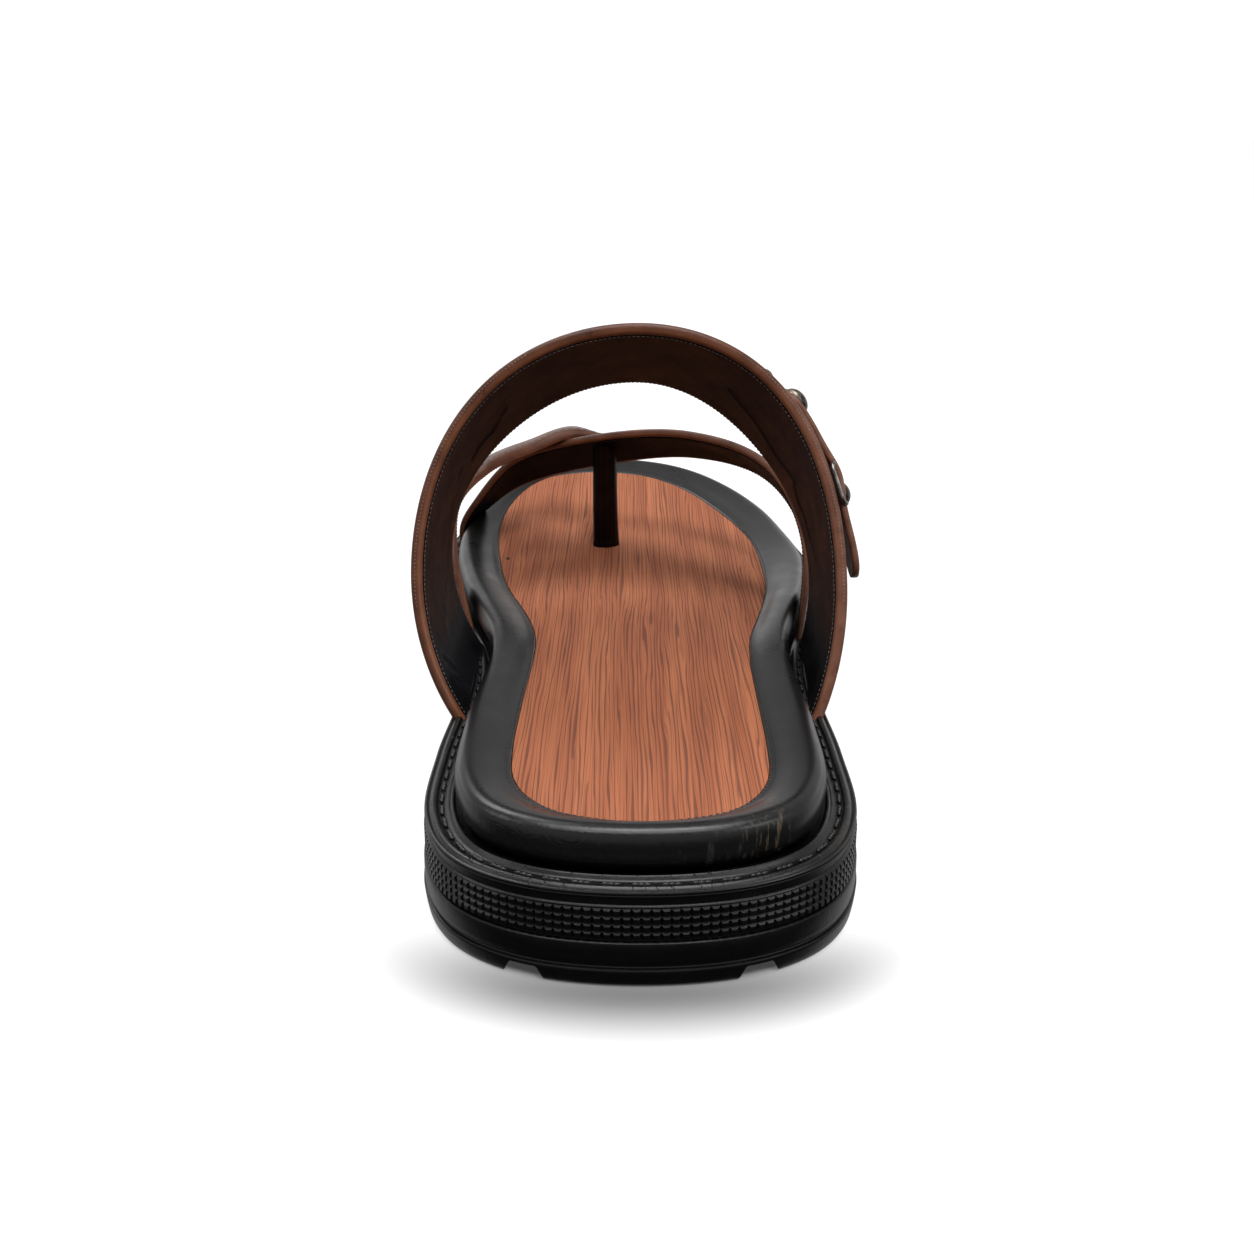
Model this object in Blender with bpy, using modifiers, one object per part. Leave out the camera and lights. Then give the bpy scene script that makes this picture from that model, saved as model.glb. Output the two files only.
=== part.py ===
"""Cross-strap toe-post slide sandal, right shoe, as separate solids.

Tables are in millimetres: x from the heel's centre line (positive to the outer side of the foot),
y from the back of the outsole towards the toe, z from the floor. Meshes are in metres.
"""

import math
from dataclasses import dataclass

import bmesh
import bpy
import numpy as np
from mathutils import Matrix, Vector

MM = 0.001
CLEARANCE = 0.3

# Middle of the whole shoe in plan, which becomes the origin
CENTRE_X = -3.15
CENTRE_Y = 148.6

# Footbed outline
HEEL_TIP = (0.0, 6.3)
TOE_TIP = (-12.0, 291.5)
FOOTBED_STATIONS = (
    # y, inner side x, outer side x
    (9.6, -20.0, 20.0),
    (18.0, -31.6, 31.8),
    (33.0, -37.6, 37.8),
    (62.0, -38.8, 39.0),
    (102.0, -37.2, 38.0),
    (124.0, -38.8, 39.7),
    (148.0, -44.3, 44.2),
    (176.0, -51.0, 49.2),
    (203.0, -55.6, 50.5),
    (225.0, -56.6, 46.6),
    (248.0, -53.2, 40.0),
    (268.0, -46.2, 29.6),
    (282.5, -34.8, 16.0),
    (289.3, -23.0, 3.0),
)
SIDE_STEPS = 36

# Height of the sole along the foot
ARCH_RISE = 2.5
ARCH_RANGE = (92.0, 158.0)
TOE_SPRING = 10.8
TOE_SPRING_START = 205.0
TOE_END = 298.0
HEEL_THICKNESS = 20.3
BALL_THICKNESS = 17.5
TAPER_RANGE = (105.0, 195.0)

# Rise of the insole towards the toe, where the rim is lower
INSOLE_TOE_LIFT = 1.2
INSOLE_LIFT_RANGE = (230.0, 288.0)
RECESS_START = 9.0
RECESS_SHIFT = 0.5

# Outsole side, from the tread up over the welt to the pocket
WELT_WIDTH = 7.4
PARTING_LEVEL = 4.3
BAND_TOP_LEVEL = 16.6
OUTSOLE_SIDE = (
    # inset from the outsole's outline, level at the heel
    (1.4, 0.0),
    (0.5, 0.9),
    (0.2, 3.9),
    (0.9, 4.3),
    (0.4, 7.0),
    (0.6, 9.3),
    (1.4, 9.8),
    (1.6, 16.6),
    (1.0, 17.0),
    (1.4, 18.4),
    (1.1, 18.8),
    (0.9, 19.7),
    (1.6, 20.3),
    (3.0, 20.3),
    (3.4, 19.6),
    (3.8, 20.3),
    (5.8, 20.3),
    (6.4, 20.9),
    (7.4, 20.9),
    (8.5, 20.2),
    (8.5, 18.4),
)

# Footbed side, from its base in the pocket over the rim to the recess for the insole
FOOTBED_SIDE = (
    # inset from the footbed's outline, height above the welt
    (3.5, -1.5),
    (1.6, 0.2),
    (0.0, 4.0),
    (0.5, 6.6),
    (1.8, 8.2),
    (3.8, 8.8),
    (6.0, 8.2),
    (8.8, 6.95),
    (10.2, 6.6),
    (10.3, 5.2),
)
INSOLE_SIDE = (
    # inset from the footbed's outline, height above the welt
    (10.8, 5.5),
    (10.6, 5.8),
    (10.6, 6.5),
    (11.0, 6.8),
)

# Tread grooves, with sloping walls
GROOVE_DEPTH = 2.4
GROOVE_MOUTH = 8.2
GROOVE_FLOOR = 5.0
GROOVES = (
    # middle x, middle y, length, turn in degrees
    (-21.0, 10.0, 26.0, 78.0),
    (21.0, 10.0, 26.0, 102.0),
    (0.0, 36.0, 110.0, 0.0),
    (0.0, 64.0, 110.0, 0.0),
    (-2.0, 165.0, 140.0, 4.0),
    (-2.0, 191.0, 140.0, 6.0),
    (-4.0, 217.0, 140.0, 8.0),
    (-6.0, 243.0, 140.0, 10.0),
    (-8.0, 268.0, 120.0, 12.0),
)

# Straps
STRAP_SINK = 1.7
SLOT_SINK = 2.1
FOOTBED_GAP = 0.4
INSTEP_THICKNESS = 3.4
CROSS_THICKNESS = 2.8
CROSS_CROWN = 1.4
EDGE_STEPS = 4
FACE_STEPS = 4
INSTEP_STEPS = 40
SPAN_STEPS = 6


@dataclass(frozen=True)
class Arch:
    """An edge of the instep strap's outer face: two half ellipses with fuller or flatter shoulders."""

    top_x: float
    top_y: float
    top_z: float
    base_y: float
    inner_reach: float
    outer_reach: float
    inner_foot: float
    outer_foot: float
    inner_shoulder: float
    outer_shoulder: float


INSTEP_REAR = Arch(
    top_x=0.4, top_y=116.0, top_z=108.5, base_y=82.5, inner_reach=-54.3, outer_reach=50.1,
    inner_foot=-42.0, outer_foot=43.3, inner_shoulder=0.4, outer_shoulder=2.2,
)
INSTEP_FRONT = Arch(
    top_x=-0.5, top_y=154.0, top_z=89.9, base_y=136.0, inner_reach=-52.7, outer_reach=52.2,
    inner_foot=-45.2, outer_foot=47.6, inner_shoulder=-3.2, outer_shoulder=-3.3,
)

# Strap over the big toe: feet beside the footbed at the given y, and sections between them
TOE_STRAP_FEET = ((233.0, 249.0), (140.0, 158.0))
TOE_STRAP_SECTIONS = (
    # rear edge x, y, z, front edge x, y, z
    (-58.6, 231.5, 26.5, -56.2, 248.0, 27.0),
    (-52.3, 227.0, 34.0, -51.0, 244.5, 32.5),
    (-38.5, 219.5, 49.0, -38.5, 237.5, 40.5),
    (-14.0, 208.0, 61.4, -13.0, 226.0, 50.5),
    (15.3, 194.5, 65.6, 18.0, 212.5, 57.2),
    (38.5, 171.5, 61.4, 41.0, 193.0, 53.8),
    (48.0, 151.5, 44.0, 51.5, 172.0, 40.0),
)

# Strap from the toe post to the inner side, over the strap above
POST_STRAP_FOOT = (147.0, 164.0)
POST_STRAP_SECTIONS = (
    # rear edge x, y, z, front edge x, y, z
    (-53.0, 160.0, 37.0, -57.0, 179.0, 35.0),
    (-53.0, 173.0, 49.5, -55.5, 193.0, 46.5),
    (-44.5, 187.0, 57.8, -47.0, 206.0, 54.6),
    (-33.0, 202.0, 61.0, -33.0, 222.0, 58.8),
    (-20.0, 212.0, 62.2, -19.5, 229.5, 58.6),
    (-9.0, 215.0, 59.4, -8.0, 226.5, 51.8),
    (-4.0, 215.5, 58.6, -3.0, 223.0, 53.4),
)

# Toe post
POST_X = -9.6
POST_Y = 213.8
POST_RADIUS = 3.6
POST_FOOT_RADIUS = 3.9
POST_SIDES = 20

# Buckle on the outer face of the instep strap: places from its top (0) to its outer foot (1)
STUD_LINE = 9.5
UPPER_STUD_LINE = 7.5
UPPER_STUD_PLACE = 0.310
TAB_STUD_PLACE = 0.376
FRAME_PLACE = 0.560
FRAME_STUD_PLACE = 0.566
TAIL_PLACE = 0.728
TAB_MARGIN = 4.2
BUCKLE_STRAP_WIDTH = 12.4
BUCKLE_STRAP_THICKNESS = 1.5
BUCKLE_STRAP_GAP = 0.35
TAIL_GAP = 1.1
FRAME_WIDTH = 15.4
FRAME_LENGTH = 10.4
FRAME_WIRE = 0.6
FRAME_CORNER = 2.2
FRAME_SIDE_HEIGHT = 1.1
STUD_PROFILE = (
    # radius, height
    (0.0, 2.6),
    (1.0, 2.47),
    (1.9, 2.05),
    (2.5, 1.45),
    (2.75, 0.85),
    (2.75, 0.6),
    (3.0, 0.5),
    (3.0, 0.0),
    (0.0, 0.0),
)
STUD_STEPS = 20

# Colours and finish
RUBBER = ((0.012, 0.012, 0.013), 0.55, 0.0)
RIM_LEATHER = ((0.014, 0.014, 0.015), 0.42, 0.0)
WOOD_SOCK = ((0.30, 0.085, 0.030), 0.50, 0.0)
BROWN_LEATHER = ((0.075, 0.024, 0.013), 0.42, 0.0)
DARK_METAL = ((0.09, 0.075, 0.065), 0.32, 1.0)


def smooth_step(value, low, high):
    """Ease from 0 at low to 1 at high."""
    t = np.clip((np.asarray(value, float) - low) / (high - low), 0.0, 1.0)
    return t * t * (3.0 - 2.0 * t)


def ground(y):
    """Height of the tread above the floor: a raised arch and a toe that springs up."""
    y = np.asarray(y, float)
    along_arch = np.clip((y - ARCH_RANGE[0]) / (ARCH_RANGE[1] - ARCH_RANGE[0]), 0.0, 1.0)
    arch = ARCH_RISE * np.sin(math.pi * along_arch) ** 2
    along_toe = np.clip((y - TOE_SPRING_START) / (TOE_END - TOE_SPRING_START), 0.0, 1.1)
    return arch + TOE_SPRING * along_toe**2


def welt(y):
    """Height of the welt's top above the floor."""
    thickness = HEEL_THICKNESS + (BALL_THICKNESS - HEEL_THICKNESS) * smooth_step(y, *TAPER_RANGE)
    return ground(y) + thickness


def outsole_height(y, level):
    """Height of a point of the outsole's side, whose band stretches with the sole's thickness."""
    if level <= PARTING_LEVEL:
        return ground(y) + level
    if level >= BAND_TOP_LEVEL:
        return welt(y) + level - HEEL_THICKNESS
    band_bottom = ground(y) + PARTING_LEVEL
    band_top = welt(y) + BAND_TOP_LEVEL - HEEL_THICKNESS
    share = (level - PARTING_LEVEL) / (BAND_TOP_LEVEL - PARTING_LEVEL)
    return band_bottom + share * (band_top - band_bottom)


def footbed_height(y, inset, height):
    """Height of a point of the footbed or insole, whose middle rises towards the toe."""
    lift = INSOLE_TOE_LIFT * smooth_step(y, *INSOLE_LIFT_RANGE) if inset > RECESS_START else 0.0
    return welt(y) + height + lift


def spline(points, steps, closed=False):
    """Smooth curve through points, with the given steps in each span."""
    points = np.asarray(points, float)
    if closed:
        points = np.vstack([points[-1], points, points[0], points[1]])
    else:
        points = np.vstack([2 * points[0] - points[1], points, 2 * points[-1] - points[-2]])
    curve = []
    for p0, p1, p2, p3 in zip(points, points[1:], points[2:], points[3:]):
        knots = np.cumsum([0.0] + [np.linalg.norm(b - a) ** 0.5 for a, b in ((p0, p1), (p1, p2), (p2, p3))])
        t0, t1, t2, t3 = knots
        for t in np.linspace(t1, t2, steps, endpoint=False):
            a1 = (t1 - t) / (t1 - t0) * p0 + (t - t0) / (t1 - t0) * p1
            a2 = (t2 - t) / (t2 - t1) * p1 + (t - t1) / (t2 - t1) * p2
            a3 = (t3 - t) / (t3 - t2) * p2 + (t - t2) / (t3 - t2) * p3
            b1 = (t2 - t) / (t2 - t0) * a1 + (t - t0) / (t2 - t0) * a2
            b2 = (t3 - t) / (t3 - t1) * a2 + (t - t1) / (t3 - t1) * a3
            curve.append((t2 - t) / (t2 - t1) * b1 + (t - t1) / (t2 - t1) * b2)
    if not closed:
        curve.append(points[-2])
    return np.array(curve)


def even_steps(curve, steps):
    """Points at even distances along a curve."""
    lengths = np.concatenate([[0.0], np.cumsum(np.linalg.norm(np.diff(curve, axis=0), axis=1))])
    places = np.linspace(0.0, lengths[-1], steps + 1)
    return np.stack([np.interp(places, lengths, curve[:, k]) for k in range(curve.shape[1])], axis=1)


def footbed_outline():
    """The footbed's outline: from the heel tip up the inner side to the toe tip and back."""
    inner = [(row[1], row[0]) for row in FOOTBED_STATIONS]
    outer = [(row[2], row[0]) for row in reversed(FOOTBED_STATIONS)]
    fine = 24
    curve = spline([HEEL_TIP] + inner + [TOE_TIP] + outer, fine, closed=True)
    toe = fine * (len(inner) + 1)
    inner_side = even_steps(curve[: toe + 1], SIDE_STEPS)
    outer_side = even_steps(np.vstack([curve[toe:], curve[:1]]), SIDE_STEPS)
    return np.vstack([inner_side[:-1], outer_side[:-1]])


OUTLINE = footbed_outline()
TANGENTS = np.roll(OUTLINE, -1, axis=0) - np.roll(OUTLINE, 1, axis=0)
OUTWARD = np.stack([-TANGENTS[:, 1], TANGENTS[:, 0]], axis=1)
OUTWARD /= np.linalg.norm(OUTWARD, axis=1, keepdims=True)


def inset_outline(inset):
    """The footbed's outline moved inwards."""
    return OUTLINE - OUTWARD * inset


def beside_footbed(y, side, gap):
    """A point in plan beside the footbed's outline, on its inner (-1) or outer (+1) side."""
    ring = inset_outline(-gap)
    half = ring[:SIDE_STEPS] if side < 0 else ring[SIDE_STEPS:][::-1]
    return np.array([np.interp(y, half[:, 1], half[:, 0]), y])


def shared(point):
    """A point of the tables in the shoe's own frame, in metres."""
    return Vector(((point[0] - CENTRE_X) * MM, (point[1] - CENTRE_Y) * MM, point[2] * MM))


def finish(bm, name, collection):
    """Turn a bmesh into a named object whose faces point outwards."""
    bmesh.ops.recalc_face_normals(bm, faces=bm.faces)
    mesh = bpy.data.meshes.new(name)
    bm.to_mesh(mesh)
    bm.free()
    part = bpy.data.objects.new(name, mesh)
    collection.objects.link(part)
    return part


def loft(name, rings, collection, paired_caps=False):
    """A closed solid through rings of like count, with its first and last ring capped."""
    bm = bmesh.new()
    loops = [[bm.verts.new(shared(point)) for point in ring] for ring in rings]
    count = len(loops[0])
    for lower, upper in zip(loops, loops[1:]):
        for i in range(count):
            j = (i + 1) % count
            bm.faces.new((lower[i], lower[j], upper[j], upper[i]))
    for loop in (loops[0], loops[-1]):
        if paired_caps:
            cap_pairs(bm, loop)
        else:
            bm.faces.new(loop)
    return finish(bm, name, collection)


def cap_pairs(bm, loop):
    """Close a foot-shaped ring by strips from its inner side to its outer side."""
    half = len(loop) // 2
    bm.faces.new((loop[0], loop[1], loop[-1]))
    for i in range(1, half - 1):
        bm.faces.new((loop[i], loop[i + 1], loop[-i - 1], loop[-i]))
    bm.faces.new((loop[half - 1], loop[half], loop[half + 1]))


def outsole_ring(inset, level):
    """A ring of the outsole at an inset from its own outline."""
    return [(x, y, float(outsole_height(y, level))) for x, y in inset_outline(inset - WELT_WIDTH)]


def footbed_ring(inset, height):
    """A ring of the footbed or insole at an inset from the footbed's outline."""
    shift = RECESS_SHIFT if inset > RECESS_START else 0.0
    return [(x + shift, y, float(footbed_height(y, inset, height))) for x, y in inset_outline(inset)]


def strap_rings(rear, front, thickness, crown=0.0, grow=0.0):
    """Sections of a strap with round edges and a crowned middle, from the edges of its outer face."""
    across = front - rear
    width = np.linalg.norm(across, axis=1, keepdims=True)
    across = across / width
    along = np.gradient((rear + front) / 2.0, axis=0)
    normal = np.cross(along, across)
    normal /= np.linalg.norm(normal, axis=1, keepdims=True)
    radius = thickness / 2.0
    reach = radius + grow
    turns = np.linspace(0.0, math.pi, EDGE_STEPS + 1)
    shares = np.linspace(0.0, 1.0, FACE_STEPS + 1)[1:-1] if crown else np.empty(0)
    section = [(0.0, radius - reach * math.sin(turn), reach * math.cos(turn)) for turn in turns]
    section += [(share, 0.0, crown * math.sin(math.pi * share) - reach) for share in shares]
    section += [(1.0, reach * math.sin(turn) - radius, reach * math.cos(turn)) for turn in turns[::-1]]
    section += [(share, 0.0, crown * math.sin(math.pi * share) + reach) for share in shares[::-1]]
    middle = rear - normal * radius
    rings = []
    for i in range(len(rear)):
        ring = [middle[i] + across[i] * (width[i] * share + inset) + normal[i] * lift
                for share, inset, lift in section]
        rings.append(ring)
    return rings


def half_arch(arch, side, sink):
    """Half width, rise and base angle of one side's half ellipse, for a depth below the welt."""
    reach = arch.inner_reach if side < 0 else arch.outer_reach
    foot = arch.inner_foot if side < 0 else arch.outer_foot
    half_width = abs(reach - arch.top_x)
    base_z = float(welt(arch.base_y))
    base = math.pi - math.asin(abs(foot - arch.top_x) / half_width)
    rise = (arch.top_z - base_z) / (1.0 - math.cos(base))
    sunk = math.acos((base_z - sink - arch.top_z) / rise + 1.0)
    return half_width, rise, sunk


def arch_point(arch, share, sink):
    """A point of an instep strap edge, from -1 at the inner foot over the top to 1 at the outer foot."""
    side = -1 if share < 0.0 else 1
    half_width, rise, sunk = half_arch(arch, side, sink)
    angle = abs(share) * sunk
    shoulder = arch.inner_shoulder if side < 0 else arch.outer_shoulder
    bulge = shoulder * math.sin(2.0 * angle) ** 2 if angle < math.pi / 2.0 else 0.0
    x = arch.top_x + side * (half_width + bulge) * math.sin(angle)
    z = arch.top_z - rise * (1.0 - math.cos(angle)) + bulge * math.cos(angle)
    base_z = float(welt(arch.base_y))
    y = arch.base_y + (arch.top_y - arch.base_y) * (z - base_z) / (arch.top_z - base_z)
    return np.array((x, y, z))


def instep_edges(sink):
    """Rear and front edge of the instep strap's outer face, from the inner to the outer side."""
    shares = np.linspace(-1.0, 1.0, INSTEP_STEPS + 1)
    rear = np.array([arch_point(INSTEP_REAR, share, sink) for share in shares])
    front = np.array([arch_point(INSTEP_FRONT, share, sink) for share in shares])
    return rear, front


def instep_place(share, inset):
    """Point, directions along and across, and outward normal on the instep strap's outer face."""
    step = 0.01
    line = []
    for place in (share - step, share, share + step):
        rear = arch_point(INSTEP_REAR, place, STRAP_SINK)
        front = arch_point(INSTEP_FRONT, place, STRAP_SINK)
        across = (front - rear) / np.linalg.norm(front - rear)
        line.append((rear + across * inset, across))
    along = line[2][0] - line[0][0]
    along /= np.linalg.norm(along)
    across = line[1][1]
    normal = np.cross(along, across)
    normal /= np.linalg.norm(normal)
    return line[1][0], along, across, normal


def strap_foot(feet, side, thickness, sink):
    """Rear and front edge of a strap's end, let into the welt beside the footbed."""
    edges = []
    for y in feet:
        x, y = beside_footbed(y, side, FOOTBED_GAP + thickness)
        edges.append((x, y, float(welt(y)) - sink))
    return edges


def cross_edges(sections, feet, sink):
    """Edges of a cross strap through its sections, with one or two feet in the welt."""
    rear = [row[:3] for row in sections]
    front = [row[3:] for row in sections]
    first = strap_foot(feet[0], -1, CROSS_THICKNESS, sink)
    rear.insert(0, first[0])
    front.insert(0, first[1])
    if len(feet) > 1:
        last = strap_foot(feet[1], 1, CROSS_THICKNESS, sink)
        rear.append(last[0])
        front.append(last[1])
    return spline(rear, SPAN_STEPS), spline(front, SPAN_STEPS)


def toe_strap_edges(sink):
    """Edges of the strap over the big toe."""
    return cross_edges(TOE_STRAP_SECTIONS, TOE_STRAP_FEET, sink)


def post_strap_edges(sink):
    """Edges of the strap from the toe post to the inner side."""
    return cross_edges(POST_STRAP_SECTIONS, (POST_STRAP_FOOT,), sink)


def material(name, finish_values):
    """A plain material with one colour, roughness and metallic value."""
    colour, roughness, metallic = finish_values
    made = bpy.data.materials.new(name)
    made.use_nodes = True
    shader = made.node_tree.nodes["Principled BSDF"]
    shader.inputs["Base Color"].default_value = (*colour, 1.0)
    shader.inputs["Roughness"].default_value = roughness
    shader.inputs["Metallic"].default_value = metallic
    return made


def dress(part, made):
    """Give a part its material and smooth faces with crisp edges."""
    part.data.materials.append(made)
    part.data.shade_smooth()
    part.data.set_sharp_from_angle(angle=math.radians(32.0))


def boolean(part, operation, other):
    """Cut a part with, or join it to, a hidden helper solid."""
    other.hide_render = True
    other.display_type = "WIRE"
    step = part.modifiers.new(other.name, "BOOLEAN")
    step.operation = operation
    step.solver = "EXACT"
    step.object = other


def make_outsole(parts, cutters):
    """The outsole with its lugs, side steps, welt, and slots for the strap ends."""
    rings = [outsole_ring(inset, level) for inset, level in OUTSOLE_SIDE]
    outsole = loft("outsole", rings, parts, paired_caps=True)
    for number, row in enumerate(GROOVES, 1):
        boolean(outsole, "DIFFERENCE", groove_cutter(f"groove_{number}", row, cutters))
    slots = (
        ("instep_slot", instep_edges(SLOT_SINK), INSTEP_THICKNESS, 0.0),
        ("toe_strap_slot", toe_strap_edges(SLOT_SINK), CROSS_THICKNESS, CROSS_CROWN),
        ("post_strap_slot", post_strap_edges(SLOT_SINK), CROSS_THICKNESS, CROSS_CROWN),
    )
    for name, (rear, front), thickness, crown in slots:
        slot = loft(name, strap_rings(rear, front, thickness, crown, CLEARANCE), cutters)
        boolean(outsole, "DIFFERENCE", slot)
    dress(outsole, material("black_rubber", RUBBER))


def groove_cutter(name, row, cutters):
    """A bar with sloping sides that cuts one tread groove, laid along the tread's slope."""
    x, y, length, turn = row
    below = 6.0
    bm = bmesh.new()
    bmesh.ops.create_cube(bm, size=1.0)
    for vert in bm.verts:
        top = vert.co.z > 0.0
        slope = (GROOVE_MOUTH - GROOVE_FLOOR) / GROOVE_DEPTH
        width = GROOVE_FLOOR if top else GROOVE_FLOOR + slope * (GROOVE_DEPTH + below)
        vert.co = Vector((vert.co.x * length, vert.co.y * width, GROOVE_DEPTH if top else -below)) * MM
    tilt = math.atan2(float(ground(y + 1.0) - ground(y - 1.0)), 2.0)
    cutter = finish(bm, name, cutters)
    turned = Matrix.Rotation(tilt, 4, "X") @ Matrix.Rotation(math.radians(turn), 4, "Z")
    cutter.matrix_world = Matrix.Translation(shared((x, y, float(ground(y))))) @ turned
    return cutter


def make_footbed(parts):
    """The footbed: a wrapped rim round a shallow recess."""
    rings = [footbed_ring(inset, height) for inset, height in FOOTBED_SIDE]
    footbed = loft("footbed", rings, parts, paired_caps=True)
    dress(footbed, material("rim_leather", RIM_LEATHER))


def make_insole(parts, cutters):
    """The insole in the footbed's recess, with the hole that the toe post goes through."""
    rings = [footbed_ring(inset, height) for inset, height in INSOLE_SIDE]
    insole = loft("insole", rings, parts, paired_caps=True)
    height = float(welt(POST_Y))
    radius = POST_FOOT_RADIUS + CLEARANCE
    rings = [post_ring(radius, [height + z] * POST_SIDES) for z in (0.0, 12.0)]
    boolean(insole, "DIFFERENCE", loft("post_hole", rings, cutters))
    dress(insole, material("wood_sock", WOOD_SOCK))


def post_ring(radius, heights):
    """A ring of the toe post."""
    turns = np.linspace(0.0, 2.0 * math.pi, POST_SIDES, endpoint=False)
    return [(POST_X + radius * math.cos(turn), POST_Y + radius * math.sin(turn), z)
            for turn, z in zip(turns, heights)]


def make_instep_strap(parts):
    """The wide strap over the instep."""
    rear, front = instep_edges(STRAP_SINK)
    strap = loft("instep_strap", strap_rings(rear, front, INSTEP_THICKNESS), parts)
    dress(strap, material("brown_leather", BROWN_LEATHER))


def make_cross_straps(parts, cutters):
    """The strap over the big toe, joined to the strap that leaves the toe post."""
    rear, front = toe_strap_edges(STRAP_SINK)
    straps = loft("cross_straps", strap_rings(rear, front, CROSS_THICKNESS, CROSS_CROWN), parts)
    rear, front = post_strap_edges(STRAP_SINK)
    post_strap = loft("post_strap", strap_rings(rear, front, CROSS_THICKNESS, CROSS_CROWN), cutters)
    boolean(straps, "UNION", post_strap)
    dress(straps, material("cross_leather", BROWN_LEATHER))


def make_toe_post(parts):
    """The post between the toes, from the footbed up to the strap over the big toe."""
    rear, front = toe_strap_edges(STRAP_SINK)
    distances = np.hypot(*((rear + front)[:, :2] / 2.0 - (POST_X, POST_Y)).T)
    i = int(np.argmin(distances))
    across = front[i] - rear[i]
    along = rear[i + 1] - rear[i - 1]
    normal = np.cross(along, across)
    normal /= np.linalg.norm(normal)
    under = rear[i] - normal * (CROSS_THICKNESS + 2.0 * CLEARANCE)
    top = [under[2] - (normal[0] * (x - under[0]) + normal[1] * (y - under[1])) / normal[2]
           for x, y, _ in post_ring(POST_RADIUS, [0.0] * POST_SIDES)]
    floor = float(welt(POST_Y)) + FOOTBED_SIDE[-1][1] + CLEARANCE
    rings = [
        post_ring(POST_FOOT_RADIUS, [floor] * POST_SIDES),
        post_ring(POST_FOOT_RADIUS, [floor + 3.0] * POST_SIDES),
        post_ring(POST_RADIUS, [floor + 9.0] * POST_SIDES),
        post_ring(POST_RADIUS, top),
    ]
    post = loft("toe_post", rings, parts)
    dress(post, material("post_leather", BROWN_LEATHER))


def make_buckle_strap(parts):
    """The narrow strap with round ends on the instep strap's outer face."""
    half = BUCKLE_STRAP_WIDTH / 2.0
    _, rise, sunk = half_arch(INSTEP_REAR, 1, STRAP_SINK)
    per_mm = 1.0 / (rise * sunk)
    ends = [half * (1.0 - math.cos(math.radians(turn))) for turn in (18.0, 36.0, 54.0, 72.0, 90.0)]
    top = TAB_STUD_PLACE - TAB_MARGIN * per_mm
    places = [top + s * per_mm for s in ends]
    places += list(np.linspace(places[-1], TAIL_PLACE - half * per_mm, 12)[1:-1])
    places += [TAIL_PLACE - s * per_mm for s in reversed(ends)]
    rear = []
    front = []
    for place in places:
        from_end = min(place - top, TAIL_PLACE - place) / per_mm
        reach = half - min(from_end, half)
        half_width = math.sqrt(half**2 - reach**2)
        point, _, across, normal = instep_place(place, STUD_LINE)
        slack = float(smooth_step(place, FRAME_PLACE, TAIL_PLACE))
        gap = BUCKLE_STRAP_GAP + (TAIL_GAP - BUCKLE_STRAP_GAP) * slack
        centre = point + normal * (gap + BUCKLE_STRAP_THICKNESS)
        rear.append(centre - across * half_width)
        front.append(centre + across * half_width)
    rings = strap_rings(np.array(rear), np.array(front), BUCKLE_STRAP_THICKNESS)
    strap = loft("buckle_strap", rings, parts)
    dress(strap, material("buckle_leather", BROWN_LEATHER))


def make_buckle_frame(parts):
    """The wire frame whose cross bars bow over the buckle strap."""
    point, along, across, normal = instep_place(FRAME_PLACE, STUD_LINE)
    bow = BUCKLE_STRAP_GAP + BUCKLE_STRAP_THICKNESS + CLEARANCE + FRAME_WIRE - FRAME_SIDE_HEIGHT
    corner_x = FRAME_WIDTH / 2.0 - FRAME_CORNER
    corner_y = FRAME_LENGTH / 2.0 - FRAME_CORNER
    places = []
    for quarter, (sx, sy) in enumerate(((1, 1), (-1, 1), (-1, -1), (1, -1))):
        for turn in np.linspace(0.0, 90.0, 5):
            angle = math.radians(90.0 * quarter + turn)
            x = sx * corner_x + FRAME_CORNER * math.cos(angle)
            y = sy * corner_y + FRAME_CORNER * math.sin(angle)
            places.append((x, y))
    curve = bpy.data.curves.new("buckle_frame", "CURVE")
    curve.dimensions = "3D"
    curve.bevel_depth = FRAME_WIRE * MM
    curve.bevel_resolution = 2
    wire = curve.splines.new("POLY")
    wire.points.add(len(places) - 1)
    wire.use_cyclic_u = True
    for spot, (x, y) in zip(wire.points, places):
        lift = FRAME_SIDE_HEIGHT + bow * float(1.0 - smooth_step(abs(x), corner_x, FRAME_WIDTH / 2.0))
        spot.co = (*shared(point + across * x + along * y + normal * lift), 1.0)
    frame = bpy.data.objects.new("buckle_frame", curve)
    parts.objects.link(frame)
    curve.materials.append(material("frame_metal", DARK_METAL))


def make_stud(name, place, line, height, parts):
    """A turned stud with a domed head, standing on the strap at a height above its outer face."""
    point, along, across, normal = instep_place(place, line)
    bm = bmesh.new()
    rows = [bm.verts.new((radius * MM, 0.0, z * MM)) for radius, z in STUD_PROFILE]
    for upper, lower in zip(rows, rows[1:]):
        bm.edges.new((upper, lower))
    mesh = bpy.data.meshes.new(name)
    bm.to_mesh(mesh)
    bm.free()
    stud = bpy.data.objects.new(name, mesh)
    parts.objects.link(stud)
    turned = stud.modifiers.new("turned", "SCREW")
    turned.steps = STUD_STEPS
    turned.render_steps = STUD_STEPS
    turned.use_merge_vertices = True
    turned.merge_threshold = 0.00001
    turned.use_smooth_shade = True
    axes = Matrix((across, -along, normal)).transposed().to_4x4()
    stud.matrix_world = Matrix.Translation(shared(point + normal * height)) @ axes
    mesh.materials.append(material(name + "_metal", DARK_METAL))


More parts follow.
